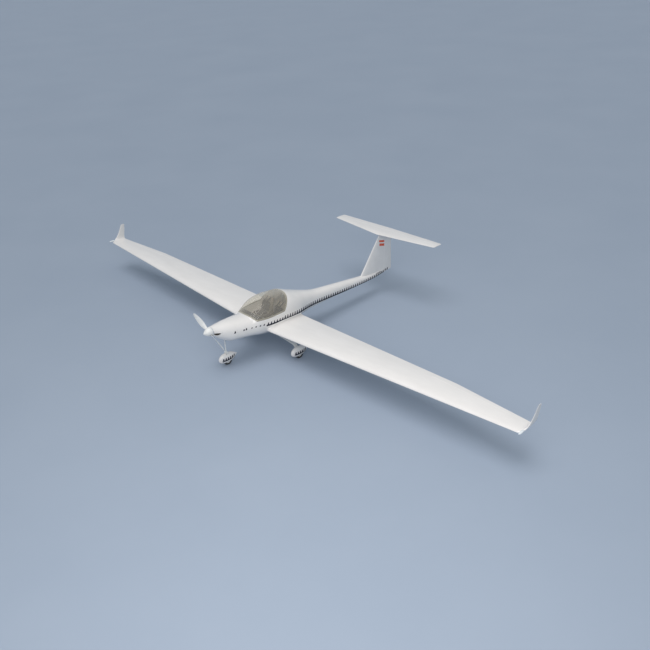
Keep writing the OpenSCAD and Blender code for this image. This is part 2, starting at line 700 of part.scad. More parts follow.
// Linkage of an aileron, in the plane y = link_y: horn, pushrod and servo arm.
link_y = 1070;
link_hinge = aileron_at(link_y);
link_servo_x = link_hinge.x + 46;
link_low_z = link_hinge.z - flap_lever; // height of the pushrod
module wing_half() {
    stations = [root_y + gap, 240, 390, 560, 730, 870, break_y, outer_at(59 / 172),
        outer_at(119 / 172), half_span];
    difference() {
        skin([for (y = stations) wing_ring(y)]);
        skin([for (y = [root_y + gap + 2, 300, 560, break_y, outer_at(79 / 172), half_span - 8])
            wing_hollow_ring(y)]);
        bar([joiner_x, root_y - 1, joiner_z], [joiner_x, root_y + 6, joiner_z], joiner_d / 2 + fit);
        aileron_room();
        bar(aileron_at(aileron_in_y - pin_l), aileron_at(aileron_in_y + 1), pin_r);
        bar(aileron_at(aileron_end_y - 1), aileron_at(aileron_end_y + pin_l), pin_r);
        // servo bay in the lower surface, and the slot for the horn
        box([link_servo_x - 12, link_y - 6, link_hinge.z - 20],
            [link_servo_x + 19, link_y + 17, link_hinge.z]);
        box([link_hinge.x - 1, link_y - 7, link_hinge.z - 20],
            [link_hinge.x + 9, link_y + 3, link_hinge.z - 1]);
    }
}
module wing_left() {
    color(white) wing_half();
}
module wing_right() {
    color(white) mirror([0, 1, 0]) wing_half();
}

// Winglet stations: outward, up, back from the leading edge, share of the chord, lean.
tip_out = 25;
WINGLET = [
    [0, 0, 0, 1, 0], [0.3, 0.012, 5, 0.95, 14], [0.54, 0.045, 13, 0.86, 32], [0.7, 0.1, 23, 0.76, 52],
    [0.8, 0.18, 34, 0.65, 68], [0.86, 0.3, 44, 0.56, 77], [0.91, 0.5, 57, 0.46, 81],
    [0.96, 0.76, 70, 0.36, 83], [0.99, 0.94, 78, 0.29, 84], [1, 1, 84, 0.17, 84]];
function winglet_ring(w) = [for (p = foil(tip_chord * w[3], tip_tc * (1 - 0.2 * w[1]), wing_camber))
    [wing_le(half_span) - w[2] - p.x, half_span + tip_gap + tip_out * w[0] - p.y * sin(w[4]),
     wing_mid(half_span) + winglet_h * w[1] + p.y * cos(w[4])]];
// Position light faired into the foot of the winglet.
light_at = [wing_le(half_span) - 3, half_span + tip_gap + 14, wing_mid(half_span) + 7];
module winglet() {
    skin([for (w = WINGLET) winglet_ring(w)]);
    translate(light_at) scale([tip_light_l / 2, 5.5, 4.5]) sphere(1, $fn = 20);
}
module winglet_left() {
    color(white) winglet();
}
module winglet_right() {
    color(white) mirror([0, 1, 0]) winglet();
}

// A horn in the XZ plane whose pin sits l below the hinge at the origin; the pin points
// to negative y, and the plate is horn_t thick, from y = 0 up.
module horn(l, r) {
    translate([0, horn_t, 0]) rotate([90, 0, 0]) linear_extrude(horn_t)
        polygon([[-r * 1.6, -r * 0.4], [r * 0.6, -r * 0.4], [1.8, -l], [0.8, -l - 1.8], [-0.8, -l - 1.8],
            [-1.8, -l]]);
    translate([0, 0.5, -l]) rotate([90, 0, 0]) cylinder(h = stud_l + 0.5, r = link_pin_d / 2, $fn = 24);
}
module aileron() {
    difference() {
        skin([for (y = [aileron_in_y + gap, break_y, aileron_end_y - gap]) aileron_ring(y)]);
        bar(aileron_at(aileron_in_y - 2), aileron_at(aileron_in_y + pin_l + 1), pin_r + fit);
        bar(aileron_at(aileron_end_y - pin_l - 1), aileron_at(aileron_end_y + 2), pin_r + fit);
    }
    translate(link_hinge) horn(flap_lever, aileron_r(link_y));
}
module aileron_left() {
    color(white) aileron();
}
module aileron_right() {
    color(white) mirror([0, 1, 0]) aileron();
}

// A servo arm in the XZ plane, hub at the origin, pin at distance l downwards; it lies
// between y = -2 and 0 and its pin points on to negative y.
module servo_arm(l) {
    rotate([90, 0, 0]) linear_extrude(arm_t) hull() {
        circle(r = 3.2, $fn = 24);
        translate([0, -l]) circle(r = 1.8, $fn = 20);
    }
    translate([0, -arm_t + 0.5, -l]) rotate([90, 0, 0])
        cylinder(h = stud_l + 0.5, r = link_pin_d / 2, $fn = 24);
}
arm_face_y = link_y + arm_t; // the servo's face begins just behind the arm
module aileron_servos() {
    color(dark) both_sides() translate([link_servo_x, arm_face_y + 0.2, link_hinge.z]) rotate([90, 0, 0])
        translate([0, 0, -1.2]) servo_low();
}
// The same servo lying on its side, trimmed to the depth of the wing.
module servo_low() {
    box([-6, -5.6, -11], [17, 5.6, 0]);
    cylinder(h = 1.2, r = 4, $fn = 24);
}
module aileron_arm() {
    translate([link_servo_x, arm_face_y, link_hinge.z]) servo_arm(flap_lever);
}
module aileron_arm_left() {
    color(dark) aileron_arm();
}
module aileron_arm_right() {
    color(dark) mirror([0, 1, 0]) aileron_arm();
}

// A pushrod from p to q with an eye at each end; the eyes' axes point along n.
eye_t = 2;
module pushrod(p, q, n) {
    eye_in = link_pin_d / 2 + link_play;
    for (e = [p, q]) aim(e - n * eye_t / 2, e + n * eye_t / 2) difference() {
        cylinder(h = eye_t, r = eye_in + 1.3, $fn = 28);
        translate([0, 0, -1]) cylinder(h = eye_t + 2, r = eye_in, $fn = 28);
    }
    v = (q - p) / norm(q - p);
    bar(p + v * (eye_in + 0.6), q - v * (eye_in + 0.6), rod_d / 2);
}
sag = flap_lever * (1 - cos(20)) / 2; // half of the rise of a lever's end over its travel
module aileron_rod() {
    y = link_y - stud_mid;
    pushrod([link_hinge.x, y, link_low_z + sag], [link_servo_x, y, link_low_z + sag], [0, 1, 0]);
}
module aileron_rod_left() {
    color(steel) aileron_rod();
}
module aileron_rod_right() {
    color(steel) mirror([0, 1, 0]) aileron_rod();
}

// ---- tail ----

function stab_le(y) = tail_x + stab_x - stab_sweep * abs(y) / stab_half;
function stab_te(y) = mix(tail_x, stab_le(stab_half) - stab_tip_chord, abs(y) / stab_half);
function stab_chord(y) = stab_le(y) - stab_te(y);
// The last few millimetres of the tips are rounded off.
function stab_round(y) = abs(y) > stab_half - 1 ? 0.8 : 1;
function stab_ring(y) =
    let (k = stab_round(y), c = stab_chord(y) * k, x = stab_le(y) - stab_chord(y) * (1 - k) * 0.6)
    [for (p = foil(c, stab_tc * (k < 1 ? 0.45 : 1))) [x - p.x, y, stab_z + p.y]];
elevator_x = tail_x + elevator_chord;
elevator_end_y = stab_half - stab_cap;
function elevator_r(y) = flap_r(stab_chord(y), stab_tc, elevator_x - stab_te(y));
function elevator_ring(y) = [for (p = flap(stab_chord(y), stab_tc, 1, elevator_x - stab_te(y)))
    [elevator_x - p.x, y, stab_z + p.y]];
tail_skin = 1.2;
function stab_hollow_ring(y) =
    let (c = stab_chord(y), to = flap_share(c, elevator_x - stab_te(y)) - 0.13)
    [for (p = foil_hollow(c, stab_tc, 1, tail_skin, 0.06, to)) [stab_le(y) - p.x, y, stab_z + p.y]];

tail_link_y = -8;
tail_servo_x = stab_le(0) - 30;
tail_servo_z = stab_z - 44;
module stabilizer() {
    ends = [-elevator_end_y, 0, elevator_end_y];
    tip_y = [stab_half, stab_half - 4, elevator_end_y, stab_half - 173];
    color(white) difference() {
        skin([for (y = concat([for (y = tip_y) -y], [0], [for (i = [3:-1:0]) tip_y[i]])) stab_ring(y)]);
        inner_y = [elevator_end_y - 6, stab_half - 173];
        skin([for (y = concat(-inner_y, [0, inner_y[1], inner_y[0]])) stab_hollow_ring(y)]);
        for (x = [-25, -45]) translate([stab_le(0) + x, 0, stab_z - 8]) cylinder(h = 9, r = 1.6, $fn = 24);
        skin([for (y = ends) round_ring([elevator_x, y, stab_z], elevator_r(y) + 0.4)]);
        skin([for (y = ends) let (x = elevator_x + 0.4 * elevator_r(y) + 0.4)
            [[x, y, stab_z + 15], [x, y, stab_z - 15], [x - 70, y, stab_z - 15],
                [x - 70, y, stab_z + 15]]]);
        both_sides() bar([elevator_x, elevator_end_y - 1, stab_z],
            [elevator_x, elevator_end_y + pin_l, stab_z], pin_r);
        box([elevator_x - 1, tail_link_y - 5, stab_z - 12], [elevator_x + 9, tail_link_y + 3, stab_z - 1]);
    }
}
module elevator() {
    color(white) {
        difference() {
            skin([for (y = [-elevator_end_y + gap, 0, elevator_end_y - gap]) elevator_ring(y)]);
            both_sides() bar([elevator_x, elevator_end_y - pin_l - 1, stab_z],
                [elevator_x, elevator_end_y + 1, stab_z], pin_r + fit);
        }
        translate([elevator_x, tail_link_y, stab_z]) horn(flap_lever, elevator_r(0));
    }
}

fin_foot_z = 125;
fin_end_x = tail_x + 2;
function fin_le(z) = tail_x + mix(fin_x, fin_top_x, (z - fin_foot_z) / (stab_z - fin_foot_z));
function fin_chord(z) = fin_le(z) - fin_end_x;
function fin_ring(z) = [for (p = foil(fin_chord(z), fin_tc)) [fin_le(z) - p.x, p.y, z]];
rudder_low_z = 92;
rudder_high_z = stab_z - 27;
function rudder_at(z) = [tail_x + mix(rudder_x, rudder_top_x,
    (z - rudder_low_z) / (rudder_high_z - rudder_low_z)), 0, z];
rudder_foot = rudder_at(rudder_low_z);
rudder_pin_foot = rudder_at(rudder_low_z - 6);
function rudder_r(z) = flap_r(fin_chord(z), fin_tc, rudder_at(z).x - fin_end_x);
function rudder_ring(z) = [for (p = flap(fin_chord(z), fin_tc, 1,
    rudder_at(z).x - fin_end_x)) [rudder_at(z).x - p.x, p.y, z]];
function flat_ring(c, r, n = 20) = [for (i = [0:n - 1]) c + r * [cos(360 * i / n), sin(360 * i / n), 0]];
module rudder_room(d) {
    ends = [rudder_low_z - 0.6, rudder_high_z + 0.6];
    skin([for (z = ends) flat_ring(rudder_at(z), rudder_r(z) + d)]);
    skin([for (z = ends) let (x = rudder_at(z).x + 0.4 * rudder_r(z) + 0.4)
        [[x, 25, z], [x, -25, z], [x - 110, -25, z], [x - 110, 25, z]]]);
}
function fin_hollow_ring(z) =
    let (c = fin_chord(z), to = flap_share(c, rudder_at(z).x - fin_end_x) - 0.12)
    [for (p = foil_hollow(c, fin_tc, 1, tail_skin, 0.05, to)) [fin_le(z) - p.x, p.y, z]];
module fin() {
    stations = [104, 135, 165, 195, 225, 255, 285, stab_z - 1];
    color(white) difference() {
        skin([for (z = stations) fin_ring(z)]);
        skin([for (z = [103, 180, tail_servo_z - 14]) fin_hollow_ring(z)]);
        skin([for (x = body_x) if (x < fin_le(fin_foot_z) + 170) section(x, -0.1)]);
        skin([for (y = [-20, 0, 20]) stab_ring(y)]);
        rudder_room(0.4);
        bar(rudder_at(rudder_high_z - 1), rudder_at(rudder_high_z + pin_l), pin_r);
        // clearance under the elevator
        side_plate(0, 30) polygon([[elevator_x + 6, stab_z + 9],
            [elevator_x + 6, stab_z - elevator_r(0) - 0.8],
            [elevator_x, stab_z - elevator_r(0) - 0.8],
                [elevator_x - 50, stab_z - elevator_r(0) - 0.8 - 50 * tan(21)],
            [elevator_x - 50, stab_z + 9]]);
        // servo pocket
        box([tail_servo_x - 6.4, tail_link_y, tail_servo_z - 6],
            [tail_servo_x + 17.4, 4.4, tail_servo_z + 6]);
    }
}
rudder_horn_z = 98;
module rudder() {
    color(white) {
        difference() {
            skin([for (z = [rudder_low_z, 160, rudder_high_z]) rudder_ring(z)]);
            bar(rudder_at(rudder_low_z - 1), rudder_at(rudder_low_z + pin_l + 1), pin_r + fit);
            bar(rudder_at(rudder_high_z - pin_l - 1), rudder_at(rudder_high_z + 1), pin_r + fit);
        }
        translate(rudder_at(rudder_horn_z)) {
            linear_extrude(horn_t) polygon([[-9, 3], [1.5, 3], [1.8, rudder_lever],
                [0.8, rudder_lever + 1.8],
                [-0.8, rudder_lever + 1.8], [-1.8, rudder_lever]]);
            translate([0, rudder_lever, horn_t - 0.5])
                cylinder(h = stud_l + 0.5, r = link_pin_d / 2, $fn = 24);
        }
    }
}

module elevator_servo() {
    color(dark) translate([tail_servo_x, tail_link_y + arm_t + 0.2, tail_servo_z]) rotate([90, 0, 0]) {
        box([-6, -5.6, -9.8], [17, 5.6, -1.2]);
        translate([0, 0, -1.2]) cylinder(h = 1.2, r = 4, $fn = 24);
    }
}
module elevator_arm() {
    color(dark) translate([tail_servo_x, tail_link_y + arm_t, tail_servo_z]) rotate([0, 180, 0])
        servo_arm(flap_lever);
}
module elevator_rod() {
    y = tail_link_y - stud_mid;
    color(steel) pushrod([elevator_x, y, stab_z - flap_lever + sag],
        [tail_servo_x, y, tail_servo_z + flap_lever - sag], [0, 1, 0]);
}

module hinge_pins() {
    color(steel) {
        both_sides() {
            bar(aileron_at(aileron_in_y - pin_l), aileron_at(aileron_in_y + pin_l), pin_r);
            bar(aileron_at(aileron_end_y - pin_l), aileron_at(aileron_end_y + pin_l), pin_r);
            bar([elevator_x, elevator_end_y - pin_l, stab_z],
                [elevator_x, elevator_end_y + pin_l, stab_z], pin_r);
        }
        bar(rudder_at(rudder_low_z - 4.5), rudder_at(rudder_low_z + pin_l), pin_r);
        bar(rudder_at(rudder_high_z - pin_l), rudder_at(rudder_high_z + pin_l), pin_r);
    }
}

// ---- rudder and nose wheel linkage ----

steer_x = nose_wheel_x + nose_trail;
rudder_sag = rudder_lever * (1 - cos(18)) / 2;
steer_sag = steer_lever * (1 - cos(21)) / 2;
plate_z = rod_z - stud_mid - arm_t; // underside of the two arms below the rods
rudder_rod_front = [servo_axis_x, -(steer_lever - steer_sag), rod_z];
rudder_rod_rear = rudder_at(rudder_horn_z) + [0, rudder_lever - rudder_sag, horn_t + stud_mid];
module rudder_arm() {
    color(dark) translate([servo_axis_x, 0, plate_z]) {
        linear_extrude(arm_t) {
            circle(r = 4, $fn = 24);
            hull() for (y = [-steer_lever, steer_lever]) translate([0, y]) circle(r = 2, $fn = 20);
        }
        for (y = [-steer_lever, steer_lever]) translate([0, y, arm_t - 0.5])
            cylinder(h = stud_l + 0.5, r = link_pin_d / 2, $fn = 24);
    }
}
module rudder_rod() {
    color(steel) pushrod(rudder_rod_front, rudder_rod_rear, [0, 0, 1]);
}
module steering_rod() {
    y = steer_lever - steer_sag;
    color(steel) pushrod([servo_axis_x, y, rod_z], [steer_x, y, rod_z], [0, 0, 1]);
}
module steering_arm() {
    color(alloy) translate([steer_x, 0, plate_z]) {
        difference() {
            linear_extrude(arm_t) hull() {
                circle(r = 5.5);
                translate([0, steer_lever]) circle(r = 2, $fn = 20);
            }
            translate([0, 0, -1]) cylinder(h = arm_t + 2, r = nose_leg_d / 2 + 0.02);
        }
        translate([0, steer_lever, arm_t - 0.5]) cylinder(h = stud_l + 0.5, r = link_pin_d / 2, $fn = 24);
    }
}

// ---- nose gear ----

bracket_low_z = 137;
bracket_high_z = plate_z - 0.5;
lug_t = 4;
module nose_gear_bracket() {
    color(alloy) difference() {
        union() {
            box([firewall_x, -14, bracket_low_z], [firewall_x + 3, 14, bracket_high_z]);
            box([firewall_x, -2, bracket_low_z], [steer_x - 9, 2, bracket_high_z]);
            for (z = [bracket_low_z, bracket_high_z - lug_t]) {
                box([firewall_x, -7, z], [steer_x, 7, z + lug_t]);
                translate([steer_x, 0, z]) cylinder(h = lug_t, r = 7);
            }
        }
        translate([steer_x, 0, bracket_low_z - 1]) cylinder(h = 30, r = nose_leg_d / 2 + fit);
    }
}
crown_z = spat_top_z + 1;
fork_y = wheel_w / 2 + 1.3;
fork_t = 1.8;
module nose_leg() {
    color(white) {
        translate([steer_x, 0, crown_z]) cylinder(h = rod_z + 1.5 - crown_z, r = nose_leg_d / 2);
        translate([steer_x, 0, bracket_low_z - 2.6]) cylinder(h = 2.4, r = nose_leg_d / 2 + 1.5);
        translate([steer_x, 0, crown_z]) cylinder(h = 9, r = nose_leg_d / 2 + 1.2);
        box([steer_x - 6, -fork_y - fork_t, crown_z], [steer_x + 5, fork_y + fork_t, crown_z + 4]);
        both_sides() hull() {
            box([steer_x - 4, fork_y, crown_z], [steer_x + 4, fork_y + fork_t, crown_z + 2]);
            translate([nose_wheel_x, fork_y + fork_t, wheel_r]) rotate([90, 0, 0])
                cylinder(h = fork_t, r = 2.7, $fn = 24);
        }
        translate([nose_wheel_x, -axle_out, wheel_r]) rotate([-90, 0, 0])
            cylinder(h = 2 * axle_out, r = axle_d / 2);
    }
}

// Spat stations: share of the length ahead of the axle, of the half width, and heights
// of the underside and top as shares of the spat's height.
SPAT = [[-0.53, 0.1, 0.42, 0.53], [-0.42, 0.43, 0.27, 0.69], [-0.28, 0.75, 0.12, 0.86],
    [-0.12, 0.95, 0.025, 0.965],
    [0.05, 1, 0, 1], [0.22, 0.93, 0.02, 0.96], [0.35, 0.73, 0.1, 0.85], [0.43, 0.48, 0.22, 0.7],
        [0.47, 0.2, 0.36, 0.55]];
spat_n = 20;
function spat_ring(s, d) =
    let (h = spat_top_z - spat_low_z, lo = spat_low_z + h * s[2] + d, hi = spat_low_z + h * s[3] - d,
         w = spat_w / 2 * s[1] - d)
    [for (i = [0:spat_n - 1]) let (a = 360 * i / spat_n)
        [spat_l * s.x * (1 - d / 40), w * signed_pow(cos(a), 0.8),
            (lo + hi) / 2 + (hi - lo) / 2 * signed_pow(sin(a), 0.8)]];
// Half width of a spat at a height, at its widest station.
function spat_side(z) =
    let (u = (2 * z - spat_top_z - spat_low_z) / (spat_top_z - spat_low_z))
    spat_w / 2 * pow(cos(asin(pow(abs(u), 1.25))), 0.8);
axle_out = spat_side(wheel_r + 3) + 0.3;
module spat_shell() {
    difference() {
        skin([for (s = SPAT) spat_ring(s, 0)]);
        skin([for (s = SPAT) spat_ring(s, spat_t)]);
        box([-wheel_r - 1.5, -wheel_w / 2 - 1.8, -1],
            [wheel_r + 1.5, wheel_w / 2 + 1.8, wheel_r + 2]);
        translate([0, -spat_w, wheel_r]) rotate([-90, 0, 0])
            cylinder(h = 2 * spat_w, r = axle_d / 2 + 0.1, $fn = 24);
    }
}
module nose_spat() {
    color(white) difference() {
        translate([nose_wheel_x, 0, 0]) spat_shell();
        both_sides() box([steer_x - 6.5, fork_y - 0.6, spat_top_z - 10],
            [steer_x + 6.5, fork_y + fork_t + 0.6, spat_top_z + 1]);
    }
}

// ---- main gear ----

main_y = track / 2;
spring_y = main_y - spat_w / 2 - gear_t / 2 - 0.2;
spring_z = belly_z - gear_t / 2 - 3 * gap;
// Outline of a strip of thickness t along a path of [across, up] points.
function path_normal(P, i) =
    let (a = P[max(i - 1, 0)], b = P[i], c = P[min(i + 1, len(P) - 1)],
         u = b == a ? (c - b) / norm(c - b) : (b - a) / norm(b - a),
         v = c == b ? u : (c - b) / norm(c - b), m = u + v)
    [-m.y, m.x] / (m * u);
function strip(P, t) = concat(
    [for (i = [0:len(P) - 1]) P[i] + path_normal(P, i) * t / 2],
    [for (i = [len(P) - 1:-1:0]) P[i] - path_normal(P, i) * t / 2]);
module main_gear_spring() {
    half = [[22, spring_z], [38, spring_z - 1.5], [60, spring_z - 4], [spring_y - 14, 62],
        [spring_y - 5, 57], [spring_y, 48], [spring_y, wheel_r - 6]];
    path = concat([for (i = [len(half) - 1:-1:0]) [-half[i].x, half[i].y]], half);
    color(white) difference() {
        intersection() {
            translate([main_wheel_x - 15, 0, 0]) rotate([90, 0, 90]) linear_extrude(30)
                polygon(strip(path, gear_t));
            translate([main_wheel_x, 0, 0]) linear_extrude(belly_z)
                polygon([[-9, -main_y], [-13, 0], [-9, main_y],
                [9, main_y], [13, 0], [9, -main_y]]);
        }
        bar([main_wheel_x, -main_y, wheel_r], [main_wheel_x, main_y, wheel_r], axle_d / 2 + 0.1);
        for (s = belly_screws) both_sides()
            bar([s.x, s.y, belly_z - 9], [s.x, s.y, belly_z + 3], screw_r + 0.2);
    }
}
module mounting_screws() {
    head_z = spring_z - gear_t / 2 - 0.1;
    nut_z = belly_z + shell_t + 1.1;
    color(steel) for (s = belly_screws) both_sides() translate([s.x, s.y, 0]) {
        translate([0, 0, head_z - 1.8]) cylinder(h = 1.8, r1 = 2, r2 = 2.8, $fn = 24);
        translate([0, 0, head_z - 0.5]) cylinder(h = nut_z + 4 - head_z, r = screw_r, $fn = 24);
        translate([0, 0, nut_z]) cylinder(h = 2.4, r = 3.2, $fn = 6);
    }
}
module main_axles() {
    inner = spring_y - gear_t / 2 - 0.1;
    outer = main_y + axle_out;
    color(steel) both_sides() translate([main_wheel_x, 0, wheel_r]) rotate([-90, 0, 0]) {
        translate([0, 0, inner - 3]) cylinder(h = 3, r = 3.2, $fn = 6);
        translate([0, 0, inner - 1]) cylinder(h = outer + 3 - inner, r = axle_d / 2);
        translate([0, 0, outer]) cylinder(h = 1.8, r = 2.8, $fn = 6);
    }
}
module main_spat_left() {
    color(white) translate([main_wheel_x, main_y, 0]) spat_shell();
}
module main_spat_right() {
    color(white) translate([main_wheel_x, -main_y, 0]) spat_shell();
}

// ---- wheels ----

rim_r = 13.5;
module tyre() {
    w = wheel_w / 2;
    rotate([90, 0, 0]) rotate_extrude()
        polygon([[rim_r, -w + 1], [rim_r + 2, -w], [wheel_r - 3, -w], [wheel_r - 0.8, -w + 1.8],
        [wheel_r, -1.8], [wheel_r, 1.8], [wheel_r - 0.8, w - 1.8], [wheel_r - 3, w], [rim_r + 2, w],
            [rim_r, w - 1]]);
}
module hub() {
    w = wheel_w / 2;
    rotate([90, 0, 0]) difference() {
        rotate_extrude() polygon([[axle_d / 2 + fit, -w - 0.6], [4, -w - 0.6], [4.5, -1.5],
            [rim_r - 2, -1.5], [rim_r - 1.4, -w + 1],
            [rim_r, -w + 1], [rim_r, w - 1], [rim_r - 1.4, w - 1], [rim_r - 2, 1.5], [4.5, 1.5],
                [4, w + 0.6], [axle_d / 2 + fit, w + 0.6]]);
        for (a = [0:72:288]) rotate(a) translate([7.3, 0, -3]) cylinder(h = 6, r = 1.9, $fn = 20);
    }
}
module nose_tyre() {
    color(dark) translate([nose_wheel_x, 0, wheel_r]) tyre();
}
module nose_hub() {
    color(white) translate([nose_wheel_x, 0, wheel_r]) hub();
}
module main_tyre_left() {
    color(dark) translate([main_wheel_x, main_y, wheel_r]) tyre();
}
module main_hub_left() {
    color(white) translate([main_wheel_x, main_y, wheel_r]) hub();
}
module main_tyre_right() {
    color(dark) translate([main_wheel_x, -main_y, wheel_r]) tyre();
}
module main_hub_right() {
    color(white) translate([main_wheel_x, -main_y, wheel_r]) hub();
}

// ---- propeller ----

prop_x = spinner_x + 8;
spinner_t = 1.2;
// Blade stations: share of the radius, chord and thickness.
BLADE = [[0.05, 10, 6.5], [0.16, 11, 5], [0.25, 16, 4], [0.37, 22, 3.2], [0.5, 26, 2.6], [0.64, 25.5, 2.1],
    [0.78, 22.5, 1.7], [0.9, 17, 1.3], [0.965, 11, 1], [1, 4, 0.7]];
blade_shape = [[0.5, 0], [0.3, 0.36], [0, 0.5], [-0.3, 0.32], [-0.5, 0.06], [-0.5, -0.06], [-0.2, -0.22],
    [0.2, -0.26], [0.44, -0.14]];
function blade_twist(r) = atan(prop_pitch / (2 * PI * r));
function blade_ring(b, a) =
    let (r = b[0] * prop_d / 2, w = blade_twist(max(r, 16)), out = [0, cos(a), sin(a)],
        turn = [0, -sin(a), cos(a)],
         along = cos(w) * turn + sin(w) * [1, 0, 0], over = cos(w) * [1, 0, 0] - sin(w) * turn)
    [for (p = blade_shape) [prop_x, 0, thrust_z] + r * out + b[1] * p.x * along + b[2] * p.y * over];
module propeller() {
    color(white) difference() {
        union() {
            for (a = [prop_rest, prop_rest + 180]) skin([for (b = BLADE) blade_ring(b, a)]);
            bar([spinner_x, 0, thrust_z], [prop_x + 6, 0, thrust_z], 7);
        }
        bar([spinner_x - 1, 0, thrust_z], [prop_x + 9, 0, thrust_z], shaft_d / 2 + fit);
    }
}
module spinner_plate() {
    color(alloy) bored_bar([plate_x, 0, thrust_z], [spinner_x, 0, thrust_z], spinner_d / 2 - 0.3,
        shaft_d / 2 + fit);
}
ogive = [[0, 1], [0.2, 0.965], [0.4, 0.87], [0.6, 0.71], [0.77, 0.51], [0.9, 0.3], [0.97, 0.15], [1, 0]];
module spinner() {
    color(white) difference() {
        translate([spinner_x, 0, thrust_z]) rotate([0, 90, 0]) rotate_extrude() polygon(concat(
            [for (p = ogive) [spinner_d / 2 * p.y, spinner_l * p.x]],
            [for (i = [len(ogive) - 1:-1:0]) [(spinner_d / 2 - spinner_t) * ogive[i].y,
                (spinner_l - 2 * spinner_t) * ogive[i].x]]));
        for (a = [prop_rest, prop_rest + 180]) translate([prop_x, 0, thrust_z]) rotate([a, 0, 0])
            translate([0, spinner_d / 2 - 2, 0]) rotate([0, blade_twist(18), 0])
                cube([8, 12, 16], center = true);
    }
}

// ---- which sub-parts are drawn ----

fuselage_left();
fuselage_right();
engine_cowl();
firewall();
motor_base();
electronics();
battery_pack();
equipment_tray();
rudder_servo();
cockpit_floor();
seats();
instrument_panel();
canopy_hinge_rod();
wing_left();
wing_right();
winglet_left();
winglet_right();
wing_joiner();
joiner_sleeves();
aileron_servos();
hinge_pins();
main_gear_spring();
mounting_screws();
main_axles();
main_spat_left();
main_spat_right();
fin();
stabilizer();
elevator_servo();
nose_gear_bracket();
nose_weight();
spinner();
spinner_plate();
propeller();
motor_rotor();
canopy_frame();
canopy_glass();
canopy_arms();
nose_leg();
nose_spat();
steering_arm();
nose_tyre();
nose_hub();
main_tyre_left();
main_hub_left();
main_tyre_right();
main_hub_right();
aileron_left();
aileron_right();
elevator();
rudder();
aileron_arm_left();
aileron_arm_right();
elevator_arm();
rudder_arm();
aileron_rod_left();
aileron_rod_right();
elevator_rod();
rudder_rod();
steering_rod();
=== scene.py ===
import bpy
import bmesh
import json
from math import acos, atan, copysign, cos, exp, hypot, pi, radians, sin, sqrt, tan
from mathutils import Matrix, Vector


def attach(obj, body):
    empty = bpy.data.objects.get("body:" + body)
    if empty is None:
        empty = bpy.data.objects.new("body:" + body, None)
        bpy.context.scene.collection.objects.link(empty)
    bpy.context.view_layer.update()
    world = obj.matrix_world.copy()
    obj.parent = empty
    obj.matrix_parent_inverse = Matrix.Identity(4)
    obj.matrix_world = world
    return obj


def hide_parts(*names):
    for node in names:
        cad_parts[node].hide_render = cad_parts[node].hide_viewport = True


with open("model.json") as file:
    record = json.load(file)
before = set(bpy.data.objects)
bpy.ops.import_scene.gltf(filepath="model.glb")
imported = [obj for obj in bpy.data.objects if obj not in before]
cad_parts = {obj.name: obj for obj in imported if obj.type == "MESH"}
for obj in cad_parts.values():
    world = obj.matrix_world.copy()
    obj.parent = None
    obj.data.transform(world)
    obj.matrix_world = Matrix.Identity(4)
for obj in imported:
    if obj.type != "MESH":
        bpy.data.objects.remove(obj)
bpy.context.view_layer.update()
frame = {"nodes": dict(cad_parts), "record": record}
nodes = frame["nodes"]
scene = bpy.context.scene
print("frame: ready")


# small helpers; the shapes below are in millimetres and become metres when a piece is built

def mix(a, b, t):
    return a + (b - a) * t


def clamp(v, a, b):
    return max(a, min(b, v))


def signedPower(v, e):
    return copysign(abs(v) ** e, v)


def curve(table, x, column):
    last = len(table) - 1
    i = 0
    while i < last - 1 and table[i + 1][0] <= x:
        i += 1

    def slope(k):
        a, b = max(k - 1, 0), min(k + 1, last)
        return (table[b][column] - table[a][column]) / (table[b][0] - table[a][0])
    h = table[i + 1][0] - table[i][0]
    t = (x - table[i][0]) / h
    return ((2 * t ** 3 - 3 * t ** 2 + 1) * table[i][column] + (t ** 3 - 2 * t ** 2 + t) * h * slope(i)
            + (3 * t ** 2 - 2 * t ** 3) * table[i + 1][column] + (t ** 3 - t ** 2) * h * slope(i + 1))


def steps(a, b, n):
    return [mix(a, b, i / n) for i in range(n + 1)]


def around(n):
    return steps(0, 2 * pi, n)[:-1]


def newShape():
    return {"verts": [], "faces": [], "mats": []}


def addFace(shape, points, mat=0):
    base = len(shape["verts"])
    shape["verts"] += [tuple(p) for p in points]
    shape["faces"].append(tuple(range(base, base + len(points))))
    shape["mats"].append(mat)


def addLoft(shape, rings, caps=(True, True), mat=0, closed=True):
    base, n = len(shape["verts"]), len(rings[0])
    for ring in rings:
        shape["verts"] += [tuple(p) for p in ring]
    for i in range(len(rings) - 1):
        for k in range(n if closed else n - 1):
            a, b = base + i * n + k, base + i * n + (k + 1) % n
            shape["faces"].append((a, b, b + n, a + n))
            shape["mats"].append(mat)
    for wanted, start in ((caps[0], base), (caps[1], base + (len(rings) - 1) * n)):
        if wanted and closed:
            shape["faces"].append(tuple(start + k for k in range(n)))
            shape["mats"].append(mat)


def lofted(rings, caps=(True, True)):
    shape = newShape()
    addLoft(shape, rings, caps)
    return shape


def addBox(shape, low, high, mat=0):
    x, y, z = zip(low, high)
    addLoft(shape, [[(x[0], y[0], h), (x[1], y[0], h), (x[1], y[1], h), (x[0], y[1], h)] for h in z], mat=mat)


def boxed(low, high):
    shape = newShape()
    addBox(shape, low, high)
    return shape


def addRod(shape, p, q, r, mat=0, n=32, hollow=0):
    p, q = Vector(p), Vector(q)
    along = (q - p).normalized()
    side = along.orthogonal().normalized()
    other = along.cross(side)

    def ring(c, radius):
        return [c + side * radius * cos(2 * pi * k / n) + other * radius * sin(2 * pi * k / n)
                for k in range(n)]
    if hollow:
        loop = [ring(p, hollow), ring(p, r), ring(q, r), ring(q, hollow), ring(p, hollow)]
        addLoft(shape, loop, caps=(False, False), mat=mat)
    else:
        addLoft(shape, [ring(p, r), ring(q, r)], mat=mat)


